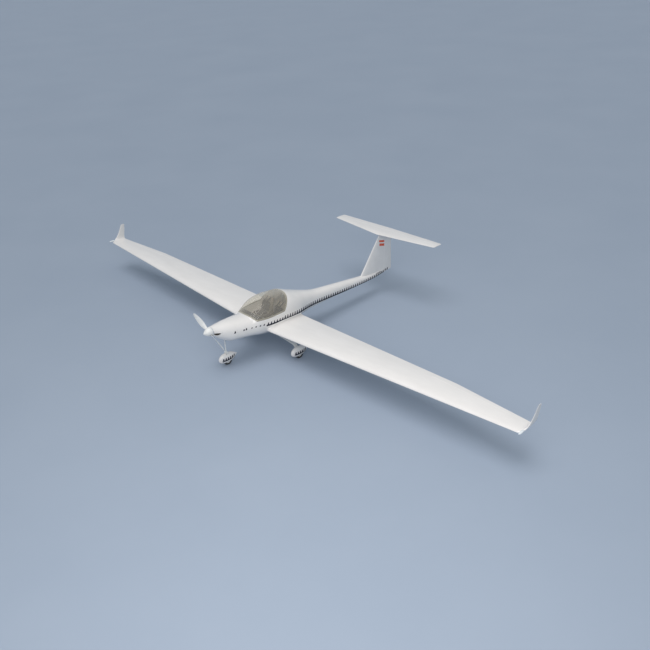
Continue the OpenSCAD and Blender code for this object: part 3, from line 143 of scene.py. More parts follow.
def addLathe(shape, profile, centre, axis, n=64, mat=0, closed=False):
    centre, axis = Vector(centre), Vector(axis).normalized()
    side = axis.orthogonal().normalized()
    other = axis.cross(side)
    rings = [[centre + axis * h + (side * cos(2 * pi * k / n) + other * sin(2 * pi * k / n)) * r
              for k in range(n)] for h, r in profile]
    if closed:
        rings.append(rings[0])
    addLoft(shape, rings, caps=(False, False) if closed else (True, True), mat=mat)


def addPlate(shape, outline, place, thickness, mat=0):
    rings = [[place(u, v, w) for u, v in outline] for w in thickness]
    addLoft(shape, rings, mat=mat)


def markSharp(mesh, angle):
    bm = bmesh.new()
    bm.from_mesh(mesh)
    limit = radians(angle)
    for f in bm.faces:
        f.smooth = True
    for e in bm.edges:
        e.smooth = not (len(e.link_faces) == 2 and e.calc_face_angle(0) > limit)
    bm.to_mesh(mesh)
    bm.free()


def meshObject(name, shape, materials=(), mirror=False):
    mesh = bpy.data.meshes.new(name)
    flip = -1 if mirror else 1
    mesh.from_pydata([(x * 0.001, y * 0.001 * flip, z * 0.001) for x, y, z in shape["verts"]], [], shape["faces"])
    for m in materials:
        mesh.materials.append(m)
    mesh.polygons.foreach_set("material_index", shape["mats"])
    bm = bmesh.new()
    bm.from_mesh(mesh)
    bmesh.ops.remove_doubles(bm, verts=bm.verts, dist=2e-6)
    bmesh.ops.dissolve_degenerate(bm, edges=bm.edges, dist=1e-6)
    bmesh.ops.recalc_face_normals(bm, faces=bm.faces)
    middle = sum((v.co for v in bm.verts), Vector()) / len(bm.verts)
    if sum((f.calc_center_median() - middle).dot(f.normal) * f.calc_area() for f in bm.faces) < 0:
        bmesh.ops.reverse_faces(bm, faces=bm.faces)  # an open shell may have come out inside out
    bm.to_mesh(mesh)
    bm.free()
    obj = bpy.data.objects.new(name, mesh)
    scene.collection.objects.link(obj)
    return obj


def bake(obj):
    bpy.context.view_layer.update()
    made = bpy.data.meshes.new_from_object(obj.evaluated_get(bpy.context.evaluated_depsgraph_get()))
    old = obj.data
    obj.modifiers.clear()
    obj.data = made
    bpy.data.meshes.remove(old)


def carve(obj, shape, mirror=False):
    cutter = meshObject("cutter", shape, mirror=mirror)
    mod = obj.modifiers.new("carve", "BOOLEAN")
    mod.operation = "DIFFERENCE"
    mod.solver = "EXACT"
    mod.object = cutter
    bake(obj)
    bpy.data.objects.remove(cutter)


def joinTo(obj, *others):
    bm = bmesh.new()
    for o in (obj, *others):
        bm.from_mesh(o.data)
    bm.to_mesh(obj.data)
    bm.free()
    for o in others:
        bpy.data.objects.remove(o)


def thicken(obj, amount):
    mod = obj.modifiers.new("wall", "SOLIDIFY")
    mod.thickness = amount * 0.001
    mod.offset = -1
    mod.use_even_offset = True
    bake(obj)


def slicePlanes(obj, planes, keepInside, window):
    # each plane is a point in mm and a direction; a face is inside when it lies on the positive side of all of them
    bm = bmesh.new()
    bm.from_mesh(obj.data)
    low, high = window[0] * 0.001, window[1] * 0.001
    for px, py, pz, nx, ny, nz in planes:
        faces = [f for f in bm.faces if low < f.calc_center_median().x < high]
        edges = {e for f in faces for e in f.edges}
        verts = {v for f in faces for v in f.verts}
        bmesh.ops.bisect_plane(bm, geom=list(verts) + list(edges) + faces, dist=2e-6,
                               plane_co=(px * 0.001, py * 0.001, pz * 0.001), plane_no=(nx, ny, nz))
    inside = []
    for f in bm.faces:
        c = f.calc_center_median() * 1000
        if all((c.x - px) * nx + (c.y - py) * ny + (c.z - pz) * nz > 0 for px, py, pz, nx, ny, nz in planes):
            inside.append(f)
    chosen = set(inside)
    gone = [f for f in bm.faces if (f not in chosen) == keepInside]
    bmesh.ops.delete(bm, geom=gone, context="FACES")
    bm.to_mesh(obj.data)
    bm.free()


def finishPiece(obj, body, replaced=(), sharp=32):
    markSharp(obj.data, sharp)
    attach(obj, body)
    if replaced:
        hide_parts(*replaced)
    return obj


def makePiece(name, shape, body, materials, replaced=(), sharp=32, mirror=False):
    return finishPiece(meshObject(name, shape, materials, mirror), body, replaced, sharp)


# materials

def principled(name):
    m = bpy.data.materials.new(name)
    m.use_nodes = True
    tree = m.node_tree
    shader = tree.nodes["Principled BSDF"]
    coords = tree.nodes.new("ShaderNodeTexCoord")
    return m, tree, shader, coords


def stretched(tree, coords, scale):
    mapping = tree.nodes.new("ShaderNodeMapping")
    mapping.inputs["Scale"].default_value = scale
    tree.links.new(coords.outputs["Object"], mapping.inputs["Vector"])
    return mapping.outputs["Vector"]


def noise(tree, vector, scale, detail=4, rough=0.5):
    n = tree.nodes.new("ShaderNodeTexNoise")
    n.inputs["Scale"].default_value = scale
    n.inputs["Detail"].default_value = detail
    n.inputs["Roughness"].default_value = rough
    tree.links.new(vector, n.inputs["Vector"])
    return n.outputs["Fac"]


def ramp(tree, value, stops):
    r = tree.nodes.new("ShaderNodeValToRGB")
    while len(r.color_ramp.elements) < len(stops):
        r.color_ramp.elements.new(0.5)
    for e, (at, colour) in zip(r.color_ramp.elements, stops):
        e.position = at
        e.color = (*colour, 1)
    tree.links.new(value, r.inputs["Fac"])
    return r.outputs["Color"]


def spread(tree, value, low, high):
    r = tree.nodes.new("ShaderNodeMapRange")
    r.inputs["From Min"].default_value = 0.3
    r.inputs["From Max"].default_value = 0.7
    r.inputs["To Min"].default_value = low
    r.inputs["To Max"].default_value = high
    tree.links.new(value, r.inputs["Value"])
    return r.outputs["Result"]


def addBump(tree, shader, height, strength, distance, under=None):
    b = tree.nodes.new("ShaderNodeBump")
    b.inputs["Strength"].default_value = strength
    b.inputs["Distance"].default_value = distance
    tree.links.new(height, b.inputs["Height"])
    if under:
        tree.links.new(under, b.inputs["Normal"])
    tree.links.new(b.outputs["Normal"], shader.inputs["Normal"])
    return b.outputs["Normal"]


def finish(name, dark, light, rough, metal=0, coat=0, grain=(1, 1, 1), coarse=60, fine=900, bump=0.15, depth=0.0002,
           sheen=0, specular=0.5):
    m, tree, shader, coords = principled(name)
    v = stretched(tree, coords, grain)
    wide = noise(tree, v, coarse, 6, 0.6)
    small = noise(tree, v, fine, 3, 0.5)
    tree.links.new(ramp(tree, wide, [(0.35, dark), (0.65, light)]), shader.inputs["Base Color"])
    tree.links.new(spread(tree, wide, rough[0], rough[1]), shader.inputs["Roughness"])
    shader.inputs["Metallic"].default_value = metal
    shader.inputs["Specular IOR Level"].default_value = specular
    shader.inputs["Coat Weight"].default_value = coat
    shader.inputs["Coat Roughness"].default_value = 0.06
    shader.inputs["Sheen Weight"].default_value = sheen
    under = addBump(tree, shader, wide, bump * 0.5, depth)
    addBump(tree, shader, small, bump, depth * 0.4, under)
    return m


def banded(name, dark, light, rough, direction, scale, distortion, depth, bump=0.3):
    m, tree, shader, coords = principled(name)
    v = stretched(tree, coords, (1, 1, 1))
    w = tree.nodes.new("ShaderNodeTexWave")
    w.bands_direction = direction
    w.inputs["Scale"].default_value = scale
    w.inputs["Distortion"].default_value = distortion
    w.inputs["Detail"].default_value = 4
    tree.links.new(v, w.inputs["Vector"])
    spots = noise(tree, v, scale * 2.5, 5, 0.6)
    tree.links.new(ramp(tree, w.outputs["Fac"], [(0.1, dark), (0.9, light)]), shader.inputs["Base Color"])
    tree.links.new(spread(tree, spots, rough[0], rough[1]), shader.inputs["Roughness"])
    under = addBump(tree, shader, w.outputs["Fac"], bump, depth)
    addBump(tree, shader, spots, bump * 0.5, depth, under)
    return m


paint = {"whiteLow": (0.785, 0.77, 0.765), "whiteHigh": (0.83, 0.815, 0.81), "stripe": (0.008, 0.01, 0.024),
         "bars": (0.72, 0.1, 0.035), "glass": (0.85, 0.83, 0.78), "glassClear": (0.97, 0.96, 0.93)}

gelcoat = finish("gelcoat", paint["whiteLow"], paint["whiteHigh"], (0.13, 0.22), coat=0.5, coarse=9, fine=420,
                 bump=0.05, depth=0.0004)
film = finish("filmCovering", paint["whiteLow"], paint["whiteHigh"], (0.17, 0.27), coat=0.35, grain=(1, 0.35, 1),
              coarse=16, fine=600, bump=0.06, depth=0.0004)
moulding = finish("whiteMoulding", (0.74, 0.75, 0.75), (0.8, 0.81, 0.81), (0.2, 0.32), coarse=40, fine=1500,
                  bump=0.08)
springPaint = finish("springPaint", (0.74, 0.76, 0.76), (0.8, 0.81, 0.81), (0.22, 0.34), grain=(1, 0.2, 1),
                     coarse=70, fine=900, bump=0.1)
stripePaint = finish("stripePaint", paint["stripe"], tuple(c * 1.35 for c in paint["stripe"]), (0.6, 0.72),
                     specular=0.2, coarse=80, bump=0.05)
barPaint = finish("barPaint", paint["bars"], tuple(c * 1.12 for c in paint["bars"]), (0.22, 0.34), coat=0.3,
                  coarse=80, bump=0.05)
whitePaint = finish("whitePaint", (0.8, 0.8, 0.79), (0.84, 0.84, 0.83), (0.3, 0.4), coarse=120, bump=0.05)
steelFinish = finish("steelWire", (0.5, 0.51, 0.53), (0.62, 0.63, 0.65), (0.2, 0.36), metal=1, grain=(1, 1, 6),
                     coarse=300, fine=2400, bump=0.12)
alloyFinish = finish("machinedAlloy", (0.7, 0.71, 0.73), (0.8, 0.81, 0.82), (0.24, 0.4), metal=1, grain=(8, 1, 1),
                     coarse=260, fine=2200, bump=0.16)
motorFinish = finish("motorMetal", (0.22, 0.22, 0.24), (0.32, 0.32, 0.34), (0.3, 0.45), metal=1, grain=(6, 1, 1),
                     coarse=200, fine=2000, bump=0.12)
rubber = finish("rubber", (0.022, 0.022, 0.024), (0.045, 0.045, 0.047), (0.6, 0.85), coarse=160, fine=1600,
                bump=0.5, depth=0.0003, specular=0.35)
blackPlastic = finish("blackPlastic", (0.03, 0.03, 0.032), (0.05, 0.05, 0.053), (0.42, 0.6), coarse=120,
                      fine=2600, bump=0.35)
armPlastic = finish("armPlastic", (0.02, 0.02, 0.022), (0.035, 0.035, 0.038), (0.35, 0.5), coarse=220,
                    fine=2600, bump=0.2)
shellPlastic = finish("seatShell", (0.2, 0.175, 0.145), (0.26, 0.23, 0.19), (0.5, 0.65), coarse=90, fine=1800,
                      bump=0.3)
seatLeather = finish("seatLeather", (0.03, 0.022, 0.019), (0.05, 0.038, 0.032), (0.48, 0.66), coarse=420,
                     fine=1400, bump=0.7, depth=0.0003, sheen=0.15)
webbing = banded("webbing", (0.012, 0.012, 0.016), (0.025, 0.025, 0.032), (0.6, 0.8), "Z", 700, 0.4, 0.0003)
plywoodFinish = banded("plywood", (0.36, 0.25, 0.15), (0.5, 0.37, 0.23), (0.5, 0.7), "Y", 60, 9, 0.0002)
carbonFinish = banded("carbonRod", (0.012, 0.012, 0.014), (0.045, 0.045, 0.05), (0.2, 0.35), "DIAGONAL", 420, 1, 0.0001)
wrapFinish = banded("batteryWrap", (0.02, 0.035, 0.13), (0.03, 0.05, 0.17), (0.25, 0.4), "X", 28, 3, 0.0002)
trimFinish = finish("canopyTrim", (0.3, 0.29, 0.25), (0.36, 0.35, 0.3), (0.35, 0.5), coarse=120, fine=1800,
                    bump=0.2)
dialFace = finish("dialFace", (0.012, 0.012, 0.013), (0.02, 0.02, 0.021), (0.3, 0.4), coarse=300, bump=0.05)
dialMark = finish("dialMark", (0.7, 0.7, 0.66), (0.78, 0.78, 0.74), (0.4, 0.5), coarse=300, bump=0.05)


def smokedGlass():
    m, tree, shader, coords = principled("smokedGlass")
    v = stretched(tree, coords, (1, 1, 1))
    soft = noise(tree, v, 22, 3, 0.5)
    shader.inputs["Coat Weight"].default_value = 0.4
    shader.inputs["Specular IOR Level"].default_value = 0.8
    tint = paint["glass"]
    tree.links.new(ramp(tree, soft, [(0.3, tint), (0.7, tuple(c * 1.1 for c in tint))]), shader.inputs["Base Color"])
    tree.links.new(spread(tree, soft, 0.05, 0.1), shader.inputs["Roughness"])
    addBump(tree, shader, soft, 0.04, 0.0006)
    clear = tree.nodes.new("ShaderNodeBsdfTransparent")
    clear.inputs["Color"].default_value = (*paint["glassClear"], 1)
    blend = tree.nodes.new("ShaderNodeMixShader")
    edge = tree.nodes.new("ShaderNodeLayerWeight")
    edge.inputs["Blend"].default_value = 0.5
    tree.links.new(spread(tree, edge.outputs["Facing"], 0.11, 0.28), blend.inputs["Fac"])
    tree.links.new(clear.outputs["BSDF"], blend.inputs[1])
    tree.links.new(shader.outputs["BSDF"], blend.inputs[2])
    tree.links.new(blend.outputs["Shader"], tree.nodes["Material Output"].inputs["Surface"])
    return m


glass = smokedGlass()
lensFinish = finish("lensFinish", (0.74, 0.79, 0.83), (0.8, 0.85, 0.88), (0.06, 0.12), coat=0.8,
                    coarse=60, bump=0.05)
bySlot = {"white_gelcoat": gelcoat, "white_film": film, "white_moulding": moulding, "plywood": plywoodFinish,
          "black_plastic": blackPlastic, "servo_arm_plastic": armPlastic, "battery_wrap": wrapFinish,
          "seat_foam": shellPlastic, "steel": steelFinish, "motor_metal": motorFinish, "carbon": carbonFinish,
          "alloy": alloyFinish, "white_spring": springPaint, "white_steel": springPaint, "tyre": rubber,
          "canopy_glazing": glass, "canopy_trim": trimFinish}
for part in frame["record"]["subparts"]:
    for s in nodes[part["node"]].material_slots:
        s.link = "OBJECT"
        s.material = bySlot[part["material_slot"]]
print("materials: ready")


# fuselage

bodyTable = [[-542, 8, 110, 87], [-470, 17, 114.5, 84.5], [-388, 21.5, 121, 84.5], [-255, 27, 139, 88],
             [-138, 32, 155.5, 91], [-38, 39, 171, 93], [45, 53, 198, 93], [112, 73, 224, 88], [162, 83, 244.5, 84],
             [212, 88.5, 253, 82], [262, 90, 256.5, 82], [312, 88, 249, 88], [350, 80, 229.2, 96], [385, 71, 205, 106]]
cowlTable = [[385, 71, 205, 106], [412, 67, 207, 111], [454, 60, 211, 117], [495, 51, 214.5, 124],
             [537, 37.5, 216.5, 148], [568, 21.5, 218, 176]]
thrustZ = 197


def stationAt(x):
    table = bodyTable if x <= 385 else cowlTable
    return curve(table, x, 1), curve(table, x, 2), curve(table, x, 3)


def roundness(x):
    return 2.3 - 0.3 * clamp((x - 495) / 73, 0, 1)


def section(x, inset=0, n=112):
    half, top, low = stationAt(x)
    e, mid = 2 / roundness(x), mix(low, top, 0.46)
    ring = []
    for k in range(n):
        a = 2 * pi * k / n
        reach = (top - inset - mid) if sin(a) > 0 else (mid - low - inset)
        ring.append((x, (half - inset) * signedPower(cos(a), e), mid + reach * signedPower(sin(a), e)))
    return ring


def sideY(x, z, inset=0):
    half, top, low = stationAt(x)
    mid = mix(low, top, 0.46)
    reach = (top - inset - mid) if z > mid else (mid - low - inset)
    k = abs(z - mid) / reach
    n = roundness(x)
    return 0 if k >= 1 else (half - inset) * (1 - k ** n) ** (1 / n)


canopy = {"gap": 0.4, "sill": 185, "shell": 1.6, "glass": 1.2, "frameWide": 6, "frameThick": 2.2}


def canopyPlanes(d):
    front, rear = hypot(1, 0.82), hypot(1, 0.95)
    return [(384.7 - d * front, 0, 205, -1 / front, 0, 0.82 / front),
            (162.3 + d * rear, 0, 244.5, 1 / rear, 0, 0.95 / rear),
            (260, 0, canopy["sill"] + d, 0, 0, 1)]


stripe = {"pitch": 16.5, "height": 13.5, "line": 7.4, "lean": 5.5, "tooth": 9.8, "lift": 0.15}
stripeLine = [(-575, 93), (-458, 93), (-321, 97), (-190, 107), (-57, 119.5), (69, 132.5), (153, 143), (222, 152),
              (264, 155), (329, 159), (406, 165), (470, 169)]


def stripeZ(x):
    for (xa, za), (xb, zb) in zip(stripeLine, stripeLine[1:]):
        if x <= xb:
            return mix(za, zb, clamp((x - xa) / (xb - xa), 0, 1))
    return stripeLine[-1][1]


def sidePatch(shape, corners, place, mat, rows=5, columns=2):
    # corners: low aft, low fore, high fore, high aft as (x, z)
    a, b, c, d = corners
    for i in range(rows):
        for j in range(columns):
            quad = []
            for u, v in ((j, i), (j + 1, i), (j + 1, i + 1), (j, i + 1)):
                s, t = u / columns, v / rows
                low = (mix(a[0], b[0], s), mix(a[1], b[1], s))
                high = (mix(d[0], c[0], s), mix(d[1], c[1], s))
                quad.append(place(mix(low[0], high[0], t), mix(low[1], high[1], t)))
            addFace(shape, quad, mat)


def sideStripe(shape, start, end, place, mat=0, line=True, grow=1.0):
    x = start
    while x > end + stripe["pitch"] * 0.6:
        z, h = stripeZ(x), stripe["height"] * grow
        fit = clamp((x + 560) / 60, 0.75, 1) if x < -480 else 1
        wide = stripe["tooth"] * mix(0.7, 1, grow)
        sidePatch(shape, [(x - wide, stripeZ(x - wide) - 0.4), (x, z - 0.4), (x - stripe["lean"], z + h * fit),
                          (x - stripe["lean"] - wide * 0.45, stripeZ(x - wide) + h * fit)], place, mat)
        x -= stripe["pitch"]
    if line:
        xs = steps(start + 4, end, int((start + 4 - end) / 7))
        for xa, xb in zip(xs, xs[1:]):
            sidePatch(shape, [(xb, stripeZ(xb) - stripe["line"]), (xa, stripeZ(xa) - stripe["line"]),
                              (xa, stripeZ(xa)), (xb, stripeZ(xb))], place, mat, rows=7, columns=1)


def onBody(side):
    return lambda x, z: (x, side * (sideY(x, z) + stripe["lift"]), z)


camber = 1.25
wingForm = {"half": 1336, "break": 992, "root": 214, "middle": 137, "tip": 83, "nose": 329, "sweep": 56,
            "level": 124, "dihedral": 1.7, "thickRoot": 0.14, "thickTip": 0.115}
wingHalf, wingBreak = wingForm["half"], wingForm["break"]


def halfThick(x, tc):
    return 5 * tc * (0.2969 * sqrt(max(x, 0)) - 0.126 * x - 0.3516 * x ** 2 + 0.2843 * x ** 3 - 0.1015 * x ** 4)


def foil(chord, tc, bow=camber, n=36):
    xs = [(1 - cos(pi * i / n)) / 2 for i in range(n + 1)]
    return ([(chord * x, chord * bow * halfThick(x, tc)) for x in reversed(xs[1:])]
            + [(chord * x, chord * (bow - 2) * halfThick(x, tc)) for x in xs])


def wingLe(y):
    return wingForm["nose"] - wingForm["sweep"] * y / wingHalf


def wingChord(y):
    if y < wingBreak:
        return mix(wingForm["root"], wingForm["middle"], y / wingBreak)
    return mix(wingForm["middle"], wingForm["tip"], (y - wingBreak) / (wingHalf - wingBreak))


def wingTc(y):
    return mix(wingForm["thickRoot"], wingForm["thickTip"], y / wingHalf)


def wingMid(y):
    return wingForm["level"] + y * tan(radians(wingForm["dihedral"]))


bodyXs = steps(-542, -300, 40) + steps(-300, 60, 60)[1:] + steps(60, 385, 90)[1:] + steps(385, 470, 24)[1:]
skin = lofted([section(x) for x in bodyXs], caps=(True, False))
fuselage = meshObject("fuselageSkin", skin, (gelcoat, stripePaint))
slicePlanes(fuselage, canopyPlanes(0), False, (150, 402))
thicken(fuselage, canopy["shell"])


def hingeArc(centre, r, lip, n=14):
    # angles of a cove about a hinge, from the upper lip round the front to the lower one
    top = acos(clamp(lip / r, -1, 1))
    return [(centre[0] - r * cos(a), centre[1] + r * sin(a)) for a in steps(top, -top, n)]


finForm = {"thick": 0.09, "rear": -605}
finThick, finRear = finForm["thick"], finForm["rear"]


def finLe(z):
    return -mix(372, 521, (z - 125) / 189)


def finChord(z):
    return finLe(z) - finRear


def rudderX(z):
    return -mix(538, 556, (z - 92) / 195)


def hingeRadius(chord, tc, rear):
    return chord * halfThick(1 - rear / chord, tc)


def rudderRadius(z):
    return hingeRadius(finChord(z), finThick, rudderX(z) - finRear)


def rudderRoom(extra):
    cut = newShape()
    rings = []
    for z in (91.4, 287.6):
        r, x = rudderRadius(z) + extra, rudderX(z)
        lip = 0.4 * rudderRadius(z) + 0.4
        arc = [(x - (px - x), py) for px, py in hingeArc((x, 0), r, lip)]
        ring = [(x - 110, 25), (x + lip, 25)] + arc + [(x + lip, -25), (x - 110, -25)]
        rings.append([(px, py, z) for px, py in ring])
    addLoft(cut, rings)
    return cut


carve(fuselage, rudderRoom(0.5))
hornRoom = lofted([[(rudderX(z) + 11.5 * cos(a), 3 + 9.5 * sin(a), z) for a in steps(0, pi, 20)]
                   for z in (97, 102)])
carve(fuselage, hornRoom)
rodSlot = {"front": 0.93, "rear": 0.975, "half": 1.9, "point": 1.6}  # two shares of the rod's way aft, two in mm
rodFront, rodRear = Vector((395, -11.6, 156)), Vector((-538.55, 13.66, 102.3))
cutA, cutB = (rodFront.lerp(rodRear, rodSlot[k]) for k in ("front", "rear"))
slotHalf, slotTip = rodSlot["half"], rodSlot["point"]
slotShape = lofted([[(cutA.x, y, cutA.z + slotHalf), (cutB.x, y, cutB.z + slotHalf), (cutB.x - slotTip, y, cutB.z),
                     (cutB.x, y, cutB.z - slotHalf), (cutA.x, y, cutA.z - slotHalf), (cutA.x + slotTip, y, cutA.z)]
                    for y in (6, 26)])
carve(fuselage, slotShape)
finishPiece(fuselage, "airframe", ("fuselage_left", "fuselage_right"))
print("fuselage: ready")

root = {"flare": 22, "fillet": 5.5}
for side, mirror in (("Left", False), ("Right", True)):
    shape = newShape()
    rings = []

    def rootPoint(y, k):
        g = (100 - y) / 50
        tc = wingTc(y) * (1 + 0.12 * g)
        p = foil(wingChord(y) + root["flare"] * g * g, tc)[k]
        return wingLe(y) - p[0], wingMid(y) + p[1]

    def rootAt(y, k):
        x, z = rootPoint(y, k)
        return x, y, z
    count = len(foil(1, 0.1))
    meets = []
    for k in range(count):
        y = 80.0
        for _ in range(12):  # settle where this line of the section reaches the body
            x, z = rootPoint(y, k)
            y = sideY(x, z)
        meets.append(y)
    reach = root["fillet"]
    for t in steps(0, 1, 10):
        rings.append([rootAt(mix(100, meets[k] + reach, t), k) for k in range(count)])
    base = [Vector(p) for p in rings[-1]]
    for a in steps(0, pi / 2, 8)[1:]:
        ring = []
        for k in range(count):
            before, after = base[(k - 1) % count], base[(k + 1) % count]
            n = Vector((after.z - before.z, 0, before.x - after.x))
            if n.length < 1e-6:
                n = Vector((-1, 0, 0))
            n.normalize()
            middle = Vector((base[k].x - (wingLe(80) - 100), 0, base[k].z - wingMid(80)))
            if n.dot(middle) < 0 and not k == 0:
                n = -n
            off = reach * (1 - cos(a))
            x, z = base[k].x + n.x * off, base[k].z + n.z * off
            skinY = sideY(x, z) - 0.2
            ring.append((x, mix(skinY, skinY + reach, 1 - sin(a)), z))
        rings.append(ring)
    addLoft(shape, rings, caps=(True, False))
    makePiece("wingRoot" + side, shape, "airframe", (gelcoat,), mirror=mirror, sharp=50)

marks = newShape()
for s in (1, -1):
    sideStripe(marks, 326, 228, onBody(s), grow=0.7)
    sideStripe(marks, 228, -541, onBody(s))
    for x, grow in ((346, 0.5), (364, 0.42), (384, 0.36), (404, 0.3), (432, 0.62), (444, 0.5), (487, 0.7)):
        sideStripe(marks, x, x - 15, onBody(s), line=False, grow=grow)
makePiece("bodyStripes", marks, "airframe", (stripePaint,), sharp=80)


# cowl

cowl = newShape()


def frontCircle(x, r, n=112):
    return [(x, r * cos(2 * pi * k / n), thrustZ + r * sin(2 * pi * k / n)) for k in range(n)]


cowlRings = [section(x) for x in steps(470.3, 566, 46)] + [section(567.2, 0.1), section(567.8, 0.45)]
cowlRings += [frontCircle(568, r) for r in (20.2, 18, 16.3)] + [frontCircle(567.7, 16), frontCircle(566, 16)]
cowlRings += [section(x, canopy["shell"]) for x in steps(565.8, 470.3, 40)]
addLoft(cowl, cowlRings + cowlRings[:1], caps=(False, False))
cowlSkin = meshObject("cowlSkin", cowl, (gelcoat,))
for s in (1, -1):
    inlet = newShape()
    turn = radians(-20 * s)
    ring = []
    for end in (-20, 20):
        c = Vector((552 + end * cos(turn), s * 27 + end * sin(turn), 186))
        level = Vector((-sin(turn), cos(turn), 0))
        ring.append([c + level * 4.2 * cos(a) + Vector((0, 0, 6 * sin(a))) for a in around(32)])
    addLoft(inlet, ring)
    carve(cowlSkin, inlet)
outlet = newShape()
outletZ = curve(cowlTable, 484, 3)
addBox(outlet, (476, -18, outletZ - 6), (492, 18, outletZ + 6))
carve(cowlSkin, outlet)
legHole = newShape()
legZ = curve(cowlTable, 505, 3)
addRod(legHole, (505, 0, legZ - 8), (505, 0, legZ + 12), 3.2)
carve(cowlSkin, legHole)
finishPiece(cowlSkin, "airframe", ("engine_cowl",))
print("cowl: ready")


# canopy

dome = lofted([section(x) for x in steps(132, 385, 90)], caps=(False, False))
glassSkin = meshObject("canopyGlassSkin", dome, (glass,))
slicePlanes(glassSkin, canopyPlanes(canopy["gap"]), True, (120, 402))
thicken(glassSkin, canopy["glass"])
finishPiece(glassSkin, "canopy", ("canopy_glass",))

band = lofted([section(x, canopy["glass"] + 0.1) for x in steps(132, 385, 90)], caps=(False, False))
frameRing = meshObject("canopyFrameRing", band, (trimFinish,))
slicePlanes(frameRing, canopyPlanes(canopy["gap"] + 0.1), True, (120, 402))
slicePlanes(frameRing, canopyPlanes(canopy["gap"] + 0.1 + canopy["frameWide"]), False, (120, 402))
thicken(frameRing, canopy["frameThick"])
finishPiece(frameRing, "canopy", ("canopy_frame",))
print("canopy: ready")


# wings and winglets

aileron = {"inner": 890, "outer": 1264, "chordIn": 26, "chordOut": 17, "lever": 1070}
aileronIn, aileronOut, leverY = aileron["inner"], aileron["outer"], aileron["lever"]
aileronInX = wingLe(aileronIn) - wingChord(aileronIn) + aileron["chordIn"]
aileronOutX = wingLe(aileronOut) - wingChord(aileronOut) + aileron["chordOut"]


def aileronX(y):
    return mix(aileronInX, aileronOutX, (y - aileronIn) / (aileronOut - aileronIn))


def aileronR(y):
    return hingeRadius(wingChord(y), wingTc(y), aileronX(y) - wingLe(y) + wingChord(y))


def wingRing(y):
    return [(wingLe(y) - a, y, wingMid(y) + b) for a, b in foil(wingChord(y), wingTc(y))]


def coveSection(chord, tc, bow, rear, clearance, n=30):
    # (behind the nose, height), from the upper lip round the nose to the lower lip and back through the cove
    r = hingeRadius(chord, tc, rear)
    lip = 0.4 * r + 0.4
    end = (chord - rear - lip) / chord
    xs = [end * (1 - cos(pi * i / n)) / 2 for i in range(n + 1)]
    outer = ([(chord * x, chord * bow * halfThick(x, tc)) for x in reversed(xs)]
             + [(chord * x, chord * (bow - 2) * halfThick(x, tc)) for x in xs[1:]])
    cove = hingeArc((chord - rear, (bow - 1) * r), r + clearance, lip)
    return outer + list(reversed(cove))


def flapSection(chord, tc, bow, rear, n=8):
    s, r = 1 - rear / chord, hingeRadius(chord, tc, rear)
    m = (bow - 1) * r
    nose = [(-r * cos(a), m + r * sin(a)) for a in steps(pi / 2, -pi / 2, 18)]
    low = [(rear * k / n, (bow - 2) * chord * halfThick(mix(s, 1, k / n), tc)) for k in range(1, n + 1)]
    high = [(rear * k / n, bow * chord * halfThick(mix(s, 1, k / n), tc)) for k in range(n, 0, -1)]
    return nose + low + high


def hornOutline(r):
    return [(-r * 1.6, -r * 0.4), (r * 0.6, -r * 0.4), (1.8, -10), (0.8, -11.8), (-0.8, -11.8), (-1.8, -10)]


def wingCove(y):
    return [(wingLe(y) - a, y, wingMid(y) + b)
            for a, b in coveSection(wingChord(y), wingTc(y), camber, aileronX(y) - wingLe(y) + wingChord(y), 0.4)]


wingTable = [[0, 0, 0, 0, 1, 0], [1, 0.3, 0.012, 5, 0.95, 14], [2, 0.54, 0.045, 13, 0.86, 32],
             [3, 0.7, 0.1, 23, 0.76, 52], [4, 0.8, 0.18, 34, 0.65, 68], [5, 0.86, 0.3, 44, 0.56, 77],
             [6, 0.91, 0.5, 57, 0.46, 81], [7, 0.96, 0.76, 70, 0.36, 83], [8, 0.99, 0.94, 78, 0.29, 84],
             [9, 1, 1, 84, 0.17, 84]]


winglet = {"height": 82, "out": 24.9}


def wingletRing(t):
    out, up, back, share, lean = (curve(wingTable, t, c) for c in range(1, 6))
    out, up, lean = min(out, 1), min(up, 1), radians(lean)
    x, y = wingLe(wingHalf) - back, wingHalf + 0.2 + winglet["out"] * out
    z = wingMid(wingHalf) + winglet["height"] * up
    return [(x - a, y - b * sin(lean), z + b * cos(lean))
            for a, b in foil(wingForm["tip"] * share, wingForm["thickTip"] * (1 - 0.2 * up))]


